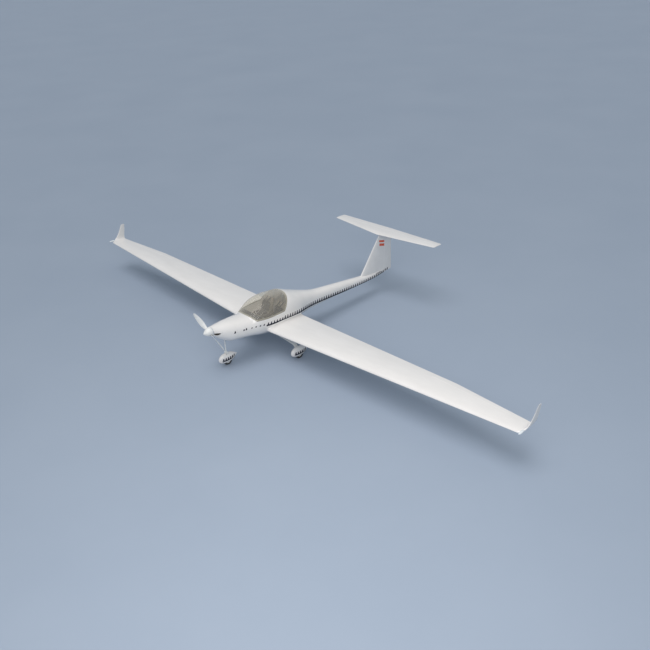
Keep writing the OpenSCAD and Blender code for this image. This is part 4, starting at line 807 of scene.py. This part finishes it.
linkX, linkZ, linkServoX = 185.261, 156.483, 231.261
for side, mirror in (("left", False), ("right", True)):
    inner, shape, outer = newShape(), newShape(), newShape()
    addLoft(inner, [wingRing(y) for y in steps(100.3, aileronIn, 52)])
    addLoft(shape, [wingCove(y) for y in steps(aileronIn, wingBreak, 8)
                    + steps(wingBreak, aileronOut, 18)[1:]])
    addLoft(outer, [wingRing(y) for y in steps(aileronOut, wingHalf, 8)])
    wing = meshObject("wingPanel_" + side, shape, (film,), mirror=mirror)
    carve(wing, boxed((linkServoX - 12, 1064, linkZ - 20), (linkServoX + 19, 1087, linkZ)), mirror)
    carve(wing, boxed((linkX - 1, 1063, linkZ - 20), (linkX + 9, 1073, linkZ - 1)), mirror)
    joinTo(wing, meshObject("inner", inner, (film,), mirror), meshObject("outer", outer, (film,), mirror))
    finishPiece(wing, "airframe", ("wing_" + side,))
    shape = lofted([wingletRing(t) for t in steps(0, 9, 72)])
    makePiece("winglet_" + side + "_skin", shape, "airframe", (gelcoat,), ("winglet_" + side,),
              mirror=mirror)
    shape = newShape()
    lampAt = (wingLe(wingHalf) - 3, wingHalf + 14.2, wingMid(wingHalf) + 7)
    addLoft(shape, [[(lampAt[0] + 16.6 * cos(t), lampAt[1] + 5.3 * sin(t) * cos(a),
                      lampAt[2] + 4.35 * sin(t) * sin(a)) for a in around(40)]
                    for t in steps(0.06, pi - 0.06, 36)])
    makePiece("tipLight_" + side, shape, "airframe", (lensFinish,), mirror=mirror)
    shape = lofted([[(aileronX(y) - a, y, wingMid(y) + b) for a, b in
                     flapSection(wingChord(y), wingTc(y), camber, aileronX(y) - wingLe(y) + wingChord(y))]
                    for y in steps(aileronIn + 0.3, wingBreak, 8) + steps(wingBreak, aileronOut - 0.3, 18)[1:]])
    addPlate(shape, hornOutline(aileronR(leverY)), lambda u, v, w: (linkX + u, leverY + w, linkZ + v), (0, 2))
    addRod(shape, (linkX, leverY + 0.5, linkZ - 10), (linkX, leverY - 4, linkZ - 10), 1, n=20)
    makePiece("aileron_" + side + "_skin", shape, "aileron_" + side, (film,), ("aileron_" + side,),
              mirror=mirror)
print("wings: ready")


# tail

tailForm = {"thick": 0.0885, "half": 333, "level": 314, "hinge": -570, "flap": 317, "tip": 329}
tailThick, tailHalf, tailZ = tailForm["thick"], tailForm["half"], tailForm["level"]
tailHinge, flapHalf, tipStart = tailForm["hinge"], tailForm["flap"], tailForm["tip"]


def stabChord(y):
    return stabLe(y) - stabTe(y)


def stabLe(y):
    return -(495 + 45 * abs(y) / tailHalf)


def stabTe(y):
    return mix(-607, -601, abs(y) / tailHalf)


def stabRing(y):
    share = clamp((abs(y) - tipStart) / (tailHalf - tipStart), 0, 1) ** 2
    k, thin = mix(1, 0.8, share), mix(1, 0.45, share)
    c = stabChord(y) * k
    x = stabLe(y) - stabChord(y) * (1 - k) * 0.6
    return [(x - a, y, tailZ + b) for a, b in foil(c, tailThick * thin, 1, 30)]


stab = lofted([[(stabLe(y) - a, y, tailZ + b)
                for a, b in coveSection(stabChord(y), tailThick, 1, tailHinge - stabTe(y), 0.4)]
               for y in steps(-flapHalf, 0, 18) + steps(0, flapHalf, 18)[1:]])
stabilizer = meshObject("stabilizerSkin", stab, (film,))
carve(stabilizer, boxed((-571, -13, 302), (-561, -5, 313)))
for s in (1, -1):
    tip = lofted([stabRing(s * y) for y in steps(flapHalf, tipStart, 3) + steps(tipStart, tailHalf, 5)[1:]])
    joinTo(stabilizer, meshObject("tip", tip, (film,)))
finishPiece(stabilizer, "airframe", ("stabilizer",))

shape = lofted([[(tailHinge - a, y, tailZ + b)
                 for a, b in flapSection(stabChord(y), tailThick, 1, tailHinge - stabTe(y))]
                for y in steps(0.3 - flapHalf, 0, 18) + steps(0, flapHalf - 0.3, 18)[1:]])
r = hingeRadius(stabChord(0), tailThick, 37)
addPlate(shape, hornOutline(r), lambda u, v, w: (tailHinge + u, -8 + w, tailZ + v), (0, 2))
addRod(shape, (tailHinge, -7.5, tailZ - 10), (tailHinge, -12, tailZ - 10), 1, n=20)
makePiece("elevatorSkin", shape, "elevator", (film,), ("elevator",))


def finPoint(z, a, b):
    return (finLe(z) - a, b, z)


fin = lofted([[finPoint(z, a, b) for a, b in coveSection(finChord(z), finThick, 1, rudderX(z) - finRear, 0.4)]
              for z in steps(104, 287.6, 30)])
finTop = lofted([[finPoint(z, a, b) for a, b in foil(finChord(z), finThick, 1, 30)] for z in steps(287.6, 313, 6)])
finSkin = meshObject("finSkin", fin, (film,))
finTopSkin = meshObject("finTop", finTop, (film,))
elevatorRoom = newShape()
under = tailZ - r - 0.8
wedge = [(-564, 325), (-564, under), (-570, under), (-620, under - 50 * tan(radians(21))), (-620, 325)]
addLoft(elevatorRoom, [[(x, y, z) for x, z in wedge] for y in (-15, 15)])
carve(finTopSkin, elevatorRoom)
carve(finSkin, boxed((-531.4, -8, 264), (-507.6, 4.4, 276)))
joinTo(finSkin, finTopSkin)
finishPiece(finSkin, "airframe", ("fin",))

shape = lofted([[(rudderX(z) - a, b, z) for a, b in flapSection(finChord(z), finThick, 1, rudderX(z) - finRear)]
                for z in steps(92, 287, 30)])
addPlate(shape, [(-9, 3), (1.5, 3), (1.8, 14), (0.8, 15.8), (-0.8, 15.8), (-1.8, 14)],
         lambda u, v, w: (rudderX(98) + u, v, 98 + w), (0, 2))
addRod(shape, (rudderX(98), 14, 99.5), (rudderX(98), 14, 104), 1, n=20)
makePiece("rudderSkin", shape, "rudder", (film,), ("rudder",))

finMarks = {"front": -510, "rear": -549, "fall": 11, "edges": (278.5, 267, 260.5, 247)}


def onFin(s):
    def place(x, z):
        share = clamp((finLe(z) - x) / finChord(z), 0.001, 1)
        return (x, s * (finChord(z) * halfThick(share, finThick) + 0.12), z)
    return place


bars = newShape()
for s in (1, -1):
    for mat, high, low in zip((0, 1, 0), finMarks["edges"], finMarks["edges"][1:]):
        front, rear, fall = finMarks["front"], finMarks["rear"], finMarks["fall"]
        sidePatch(bars, [(rear, low - fall), (front, low), (front, high), (rear, high - fall)], onFin(s), mat,
                  rows=3, columns=8)
ends = newShape()
for s in (1, -1):  # the last teeth of the stripe ride on the rudder
    for x in (-546, -564):
        sidePatch(ends, [(x - 12, 92.6), (x, 92.6), (x - 7, 105), (x - 13, 105)], onFin(s), 0)
makePiece("rudderStripe", ends, "rudder", (stripePaint,), sharp=80)
makePiece("finBars", bars, "airframe", (barPaint, whitePaint), sharp=80)
print("tail: ready")


# undercarriage

gear = {"nose": 501, "main": 250, "track": 200.5, "axle": 22.5}
spatForm = {"length": 98, "half": 14.5, "low": 14, "height": 46, "wall": 1.2}
spatBand = {"line": 27.5, "lineTop": 33.5, "teeth": 33, "top": 43.5, "wide": 8, "pitch": 12}
spatTable = [[-0.53, 0.1, 0.42, 0.53], [-0.42, 0.43, 0.27, 0.69], [-0.28, 0.75, 0.12, 0.86],
             [-0.12, 0.95, 0.025, 0.965], [0.05, 1, 0, 1], [0.22, 0.93, 0.02, 0.96], [0.35, 0.73, 0.1, 0.85],
             [0.43, 0.48, 0.22, 0.7], [0.47, 0.2, 0.36, 0.55]]


def spatSizes(share):
    width, low, high = (curve(spatTable, share, c) for c in (1, 2, 3))
    foot, tall = spatForm["low"], spatForm["height"]
    return spatForm["half"] * min(width, 1), foot + tall * max(low, 0), foot + tall * min(high, 1)


def spatRing(share, n=56):
    w, low, high = spatSizes(share)
    x, mid, reach = spatForm["length"] * share, (low + high) / 2, (high - low) / 2
    return [(x, w * signedPower(cos(a), 0.8), mid + reach * signedPower(sin(a), 0.8)) for a in around(n)]


def onSpat(centre, s):
    def place(x, z):
        w, low, high = spatSizes(clamp((x - centre[0]) / spatForm["length"], -0.53, 0.47))
        k = clamp(abs(z - (low + high) / 2) / ((high - low) / 2), 0, 0.999)
        return (x, centre[1] + s * (w * (1 - k ** 2.5) ** 0.4 + 0.12), z)
    return place


def addSpatBand(shape, centre):
    for s in (1, -1):
        place = onSpat(centre, s)
        x = centre[0] + 34
        while x > centre[0] - 32:
            low, top = spatBand["teeth"], spatBand["top"]
            sidePatch(shape, [(x - spatBand["wide"], low), (x, low), (x - 3.5, top), (x - 8.5, top)], place, 0, rows=6)
            x -= spatBand["pitch"]
        xs = steps(centre[0] + 36, centre[0] - 36, 24)
        for xa, xb in zip(xs, xs[1:]):
            low, top = spatBand["line"], spatBand["lineTop"]
            sidePatch(shape, [(xb, low), (xa, low), (xa, top), (xb, top)], place, 0, rows=1, columns=1)


spatXs = steps(-0.53, -0.42, 6) + steps(-0.42, 0.35, 44)[1:] + steps(0.35, 0.47, 10)[1:]
wheels = (("nose", "", gear["nose"], 0, "nose_gear"), ("main", "_left", gear["main"], gear["track"], "airframe"),
          ("main", "_right", gear["main"], -gear["track"], "airframe"))
for kind, end, cx, cy, body in wheels:
    shape = lofted([[(cx + x, cy + y, z) for x, y, z in spatRing(s)] for s in spatXs])
    spat = meshObject(kind + "SpatSkin" + end, shape, (gelcoat, stripePaint))
    slicePlanes(spat, [(cx - 24, 0, 0, 1, 0, 0), (cx + 24, 0, 0, -1, 0, 0), (0, cy - 7.8, 0, 0, 1, 0),
                       (0, cy + 7.8, 0, 0, -1, 0), (0, 0, 24.5, 0, 0, -1)], False, (cx - 60, cx + 60))
    thicken(spat, spatForm["wall"])
    cuts = newShape()
    addRod(cuts, (cx, cy - 29, gear["axle"]), (cx, cy + 29, gear["axle"]), 1.6, n=24)
    if kind == "nose":
        for s in (1, -1):
            addBox(cuts, (498.5, s * 8.2 - 1.5, 50), (511.5, s * 8.2 + 1.5, 61))
    carve(spat, cuts)
    finishPiece(spat, body, (kind + "_spat" + end,), sharp=40)
    marks = newShape()
    addSpatBand(marks, (cx, cy))
    makePiece(kind + "SpatSkin" + end + "Band", marks, body, (stripePaint,), sharp=80)

springPath = [(0, 79.6), (22, 79.6), (38, 78.1), (60, 75.6), (170.3, 62), (179.3, 57), (184.3, 48), (184.3, 16.5)]


def softened(points, times):
    for _ in range(times):
        new = [points[0]]
        for a, b in zip(points, points[1:]):
            new += [(mix(a[0], b[0], 0.25), mix(a[1], b[1], 0.25)), (mix(a[0], b[0], 0.75), mix(a[1], b[1], 0.75))]
        points = new + [points[-1]]
    return points


half = softened(springPath, 2)
path = [(-y, z) for y, z in reversed(half[1:])] + half
spring = newShape()
rings = []
for i, (y, z) in enumerate(path):
    a, b = path[max(i - 1, 0)], path[min(i + 1, len(path) - 1)]
    length = hypot(b[0] - a[0], b[1] - a[1])
    ny, nz = -(b[1] - a[1]) / length, (b[0] - a[0]) / length
    wide = mix(13, 9, abs(y) / gear["track"])
    ring = []
    for t in around(28):
        u, v = wide * signedPower(cos(t), 0.3), 1.48 * signedPower(sin(t), 0.45)
        ring.append((gear["main"] + u, y + ny * v, z + nz * v))
    rings.append(ring)
addLoft(spring, rings)
makePiece("gearSpring", spring, "airframe", (springPaint,), ("main_gear_spring",), sharp=45)

tyre = {"radius": 22.5, "rim": 13.5, "groove": 0.45}
profile = [(-5, 12), (-5.7, 12.6), (-6, 13.8), (-6, 15.6), (-5.9, 16.8), (-5.4, 18), (-4.6, 18.9), (-3.9, 19.4)]
for c in (-2.6, 0, 2.6):
    deep = 19.85 - tyre["groove"]
    profile += [(c - 0.75, 19.9), (c - 0.4, deep), (c + 0.4, deep), (c + 0.75, 19.9)]
    if c < 2:
        profile += [(c + 1.3, 20)]
profile += [(3.9, 19.4), (4.6, 18.9), (5.4, 18), (5.9, 16.8), (6, 15.6), (6, 13.8), (5.7, 12.6), (5, 12)]
profile = [(w, tyre["rim"] + (h - 12) * (tyre["radius"] - tyre["rim"]) / 8) for w, h in profile]
for kind, end, cx, cy, body in wheels:
    shape = newShape()
    addLathe(shape, profile, (cx, cy, gear["axle"]), (0, 1, 0), n=96, closed=True)
    makePiece(kind + "Tyre" + end, shape, kind + "_wheel" + end, (rubber,), (kind + "_tyre" + end,), sharp=45)
print("undercarriage: ready")


# propeller and spinner

blade = {"rest": (152, 332), "radius": 115, "pitch": 150}
bladeTable = [[0.05, 10, 6.5], [0.16, 11, 5], [0.25, 16, 4], [0.37, 22, 3.2], [0.5, 26, 2.6], [0.64, 25.5, 2.1],
              [0.78, 22.5, 1.7], [0.9, 17, 1.3], [0.965, 11, 1], [1, 4, 0.7]]
bladeOutline = [(0.5, 0), (0.3, 0.36), (0, 0.5), (-0.3, 0.32), (-0.5, 0.06), (-0.5, -0.06), (-0.2, -0.22), (0.2, -0.26),
                (0.44, -0.14)]


bladeHub = Vector((579, 0, thrustZ))


def smoothLoop(points, parts):
    loop, n = [], len(points)
    for i in range(n):
        p = [points[(i + d) % n] for d in (-1, 0, 1, 2)]
        for k in range(parts):
            t = k / parts
            loop.append(tuple(0.5 * (2 * b + (c - a) * t + (2 * a - 5 * b + 4 * c - d) * t * t
                                     + (3 * b - a - 3 * c + d) * t ** 3) for a, b, c, d in zip(*p)))
    return loop


def bladeAxes(turn, r):
    w = atan(blade["pitch"] / (2 * pi * r))
    out, across = Vector((0, cos(turn), sin(turn))), Vector((0, -sin(turn), cos(turn)))
    ahead = Vector((1, 0, 0))
    return out, across * cos(w) + ahead * sin(w), ahead * cos(w) - across * sin(w)


def bladeRing(share, turn):
    r = blade["radius"] * share
    chord, thick = curve(bladeTable, share, 1), curve(bladeTable, share, 2)
    out, along, over = bladeAxes(turn, max(r, 16))
    return [bladeHub + out * r + along * chord * u + over * thick * v for u, v in smoothLoop(bladeOutline, 4)]


prop = newShape()
for turn in blade["rest"]:
    addLoft(prop, [bladeRing(s, radians(turn)) for s in steps(0.05, 0.9, 40) + steps(0.9, 1, 14)[1:]])
addRod(prop, (571, 0, thrustZ), (585, 0, thrustZ), 7, hollow=2.05)
makePiece("propellerBlades", prop, "propeller", (moulding,), ("propeller",), sharp=45)

ogive = [(0, 1), (0.2, 0.965), (0.4, 0.87), (0.6, 0.71), (0.77, 0.51), (0.9, 0.3), (0.97, 0.15), (1, 0)]
cone = {"back": 571, "length": 36, "radius": 21}
outside = [(cone["length"] * u, cone["radius"] * max(curve(ogive, u, 1), 0)) for u in steps(0, 0.97, 40)]
outside += [(35.6, 1.9), (35.9, 1)]
inside = [(33.6 * u, 19.8 * max(curve(ogive, u, 1), 0)) for u in steps(0.96, 0, 30)]
shape = newShape()
addLathe(shape, [(cone["length"], 0.02)] + outside[::-1] + inside[::-1] + [(33.6, 0.02)], (cone["back"], 0, thrustZ),
         (1, 0, 0), n=96)
spinner = meshObject("spinnerSkin", shape, (moulding,))
for turn in blade["rest"]:
    slot = newShape()
    out, along, over = bladeAxes(radians(turn), 18)
    addLoft(slot, [[bladeHub + out * d + along * 6.5 * cos(a) + over * 3.6 * sin(a) for a in around(28)]
                   for d in (13, 25)])
    carve(spinner, slot)
finishPiece(spinner, "propeller", ("spinner",))
print("propeller: ready")


# cockpit furnishing

cushion = {"seam": 1.1, "pipe": 1.0, "fill": 0.8, "apart": 43.5}


def addCushion(shape, centre, alongX, up, sizes):
    # a soft slab; sizes are half length, half width and half thickness
    a, b, c = sizes
    ux, uz = Vector(alongX).normalized(), Vector(up).normalized()
    uy = uz.cross(ux)
    rings = []
    for lat in steps(-pi / 2 + 0.02, pi / 2 - 0.02, 26):
        ring = []
        for lon in around(64):
            u = signedPower(cos(lat), 0.42) * signedPower(cos(lon), 0.32)
            v = signedPower(cos(lat), 0.42) * signedPower(sin(lon), 0.32)
            w = signedPower(sin(lat), 0.8)
            dip = cushion["seam"] * (exp(-((u - 0.35) / 0.05) ** 2) + exp(-((u + 0.35) / 0.05) ** 2))
            crown = 1 - 0.16 * (u * u + v * v) / 2
            ring.append(Vector(centre) + ux * a * u + uy * b * v + uz * (c * w * crown - (dip if w > 0.2 else 0)))
        rings.append(ring)
    addLoft(shape, rings)
    edge = [Vector(centre) + ux * (a - 0.2) * signedPower(cos(t), 0.32)
            + uy * (b - 0.2) * signedPower(sin(t), 0.32) for t in around(72)]
    tube = []
    for i, p in enumerate(edge):
        d = (edge[(i + 1) % 72] - edge[i - 1]).normalized()
        out = d.cross(uz)
        tube.append([p + out * cushion["pipe"] * cos(t) * 0.8 + uz * cushion["pipe"] * sin(t) * 0.8
                     for t in around(10)])
    addLoft(shape, tube + tube[:1], caps=(False, False))


for side, s in (("left", 1), ("right", -1)):
    pan = newShape()
    addCushion(pan, (258.5, s * cushion["apart"], 152.0), (54, 0, 6), (-6, 0, 54), (25.5, 25.5, 4.2))
    makePiece("seatCushion_" + side, pan, "airframe", (seatLeather,), sharp=60)
    back = newShape()
    addCushion(back, (224.4, s * cushion["apart"], 175.5), (22, 0, -47), (47, 0, 22), (20.5, 25.5, 4.0))
    makePiece("backCushion_" + side, back, "airframe", (seatLeather,), sharp=60)
    belt = newShape()
    for off in (-11, 11):
        route = [(195.5, 209.7), (199.5, 210.4), (203, 205), (214, 201.5), (220, 197), (237.5, 160.3), (243, 156.8)]
        route = softened(route, 2)
        rings = []
        for i, (x, z) in enumerate(route):
            p, q = route[max(i - 1, 0)], route[min(i + 1, len(route) - 1)]
            n = Vector((-(q[1] - p[1]), 0, q[0] - p[0])).normalized()
            c = Vector((x, s * cushion["apart"] + off, z))
            rings.append([c + Vector((0, dy, 0)) + n * dn
                          for dy, dn in ((-3.4, -0.35), (3.4, -0.35), (3.4, 0.35), (-3.4, 0.35))])
        addLoft(belt, rings)
    makePiece("harness_" + side, belt, "airframe", (webbing,), sharp=50)

dials = newShape()
for i, y in enumerate((-32, -12, 12, 32)):
    at = (350, y, 179)
    addLathe(dials, [(0, 5.1), (1.2, 5.1), (1.5, 5.5), (1.3, 6.4), (0, 6.6)], at, (-1, 0, 0), n=48, closed=True)
    addLathe(dials, [(0.1, 0.02), (0.3, 0.1), (0.3, 5.0), (0.1, 5.15)], at, (-1, 0, 0), n=48, mat=1)
    for k in range(12):
        t = 2 * pi * k / 12
        c = Vector((349.6, y + 4.2 * sin(t), 179 + 4.2 * cos(t)))
        d, e = Vector((0, sin(t), cos(t))), Vector((0, cos(t), -sin(t)))
        d, e = d * 0.5, e * 0.16
        addFace(dials, [c + d + e, c + d - e, c - d - e, c - d + e], 2)
    t = 0.7 + i * 1.3
    c, d, e = Vector((349.5, y, 179)), Vector((0, sin(t), cos(t))), Vector((0, cos(t), -sin(t)))
    addFace(dials, [c + d * 3.7, c + e * 0.35, c - d * 1, c - e * 0.35], 2)
makePiece("instrumentDials", dials, "airframe", (blackPlastic, dialFace, dialMark), sharp=40)
print("cockpit: ready")


# floor, light and camera

stageLook = {"floorLow": (0.315, 0.378, 0.478), "floorHigh": (0.33, 0.393, 0.493), "worldLevel": 0.5, "sun": 1.12,
             "sunSize": 40, "lamp": 21, "lampSize": 1.5, "backdrop": (0.265, 0.32, 0.405)}
floorMat = finish("floorPaint", stageLook["floorLow"], stageLook["floorHigh"], (0.7, 0.85), coarse=1.2, fine=60,
                  bump=0.04, specular=0.1)
ground = newShape()
addFace(ground, [(-150000, -150000, -0.4), (150000, -150000, -0.4), (150000, 150000, -0.4), (-150000, 150000, -0.4)])
floor = meshObject("floor", ground, (floorMat,))

world = bpy.data.worlds.new("studio")
scene.world = world
world.use_nodes = True
sky = world.node_tree
skyShader = sky.nodes["Background"]
skyCoords = sky.nodes.new("ShaderNodeTexCoord")
split = sky.nodes.new("ShaderNodeSeparateXYZ")
sky.links.new(skyCoords.outputs["Generated"], split.inputs["Vector"])
tone = ramp(sky, split.outputs["Z"], [(0.0, (0.7, 0.755, 0.755)), (0.25, (0.83, 0.885, 0.885)),
                                      (0.8, (0.97, 1.02, 1.02))])
sky.links.new(tone, skyShader.inputs["Color"])
skyShader.inputs["Strength"].default_value = stageLook["worldLevel"]
backdrop = sky.nodes.new("ShaderNodeBackground")  # what the camera, gloss and glass see behind the floor
backdrop.inputs["Color"].default_value = (*stageLook["backdrop"], 1)
rays = sky.nodes.new("ShaderNodeLightPath")


def either(a, b):
    node = sky.nodes.new("ShaderNodeMath")
    node.operation = "MAXIMUM"
    sky.links.new(a, node.inputs[0])
    sky.links.new(b, node.inputs[1])
    return node.outputs["Value"]


seen = either(either(rays.outputs["Is Camera Ray"], rays.outputs["Is Transmission Ray"]), rays.outputs["Is Glossy Ray"])
choose = sky.nodes.new("ShaderNodeMixShader")
sky.links.new(seen, choose.inputs["Fac"])
sky.links.new(skyShader.outputs["Background"], choose.inputs[1])
sky.links.new(backdrop.outputs["Background"], choose.inputs[2])
sky.links.new(choose.outputs["Shader"], sky.nodes["World Output"].inputs["Surface"])


def addLight(name, kind, direction, level, colour):
    data = bpy.data.lights.new(name, kind)
    data.energy = level
    data.color = colour
    obj = bpy.data.objects.new(name, data)
    scene.collection.objects.link(obj)
    obj.rotation_euler = direction.to_track_quat("-Z", "Y").to_euler()
    return obj


sun = addLight("topLight", "SUN", Vector((-0.2, 0.05, -1)), stageLook["sun"], (1.0, 0.955, 0.94))
sun.data.angle = radians(stageLook["sunSize"])
lampAt = Vector((1.6, 1.6, 1.6))
lamp = addLight("sideLamp", "AREA", Vector((0.2, 0.1, 0.15)) - lampAt, stageLook["lamp"], (1.0, 0.955, 0.91))
lamp.data.size = stageLook["lampSize"]
lamp.location = lampAt

camData = bpy.data.cameras.new("camera")
camera = bpy.data.objects.new("camera", camData)
scene.collection.objects.link(camera)
scene.camera = camera
camData.sensor_width = 36
camData.lens = 741.06 / 650 * 36
camData.clip_end = 400
eye = Vector((2.122487, 2.387799, 1.720032))
aim = (Vector((0.078668, 0, 0.150002)) - eye).normalized()
worldUp = Vector((0, 0, 1))
right = aim.cross(worldUp).normalized()
up = right.cross(aim)
aim = (aim + right * 0.037544815 - up * 0.034028492).normalized()
right = aim.cross(worldUp).normalized()
up = right.cross(aim)
roll = -0.051692143
right, up = right * cos(roll) + up * sin(roll), up * cos(roll) - right * sin(roll)
camera.matrix_world = Matrix(((right.x, up.x, -aim.x, eye.x), (right.y, up.y, -aim.y, eye.y),
                              (right.z, up.z, -aim.z, eye.z), (0, 0, 0, 1)))
scene.view_settings.view_transform = "Standard"
print("stage: ready")
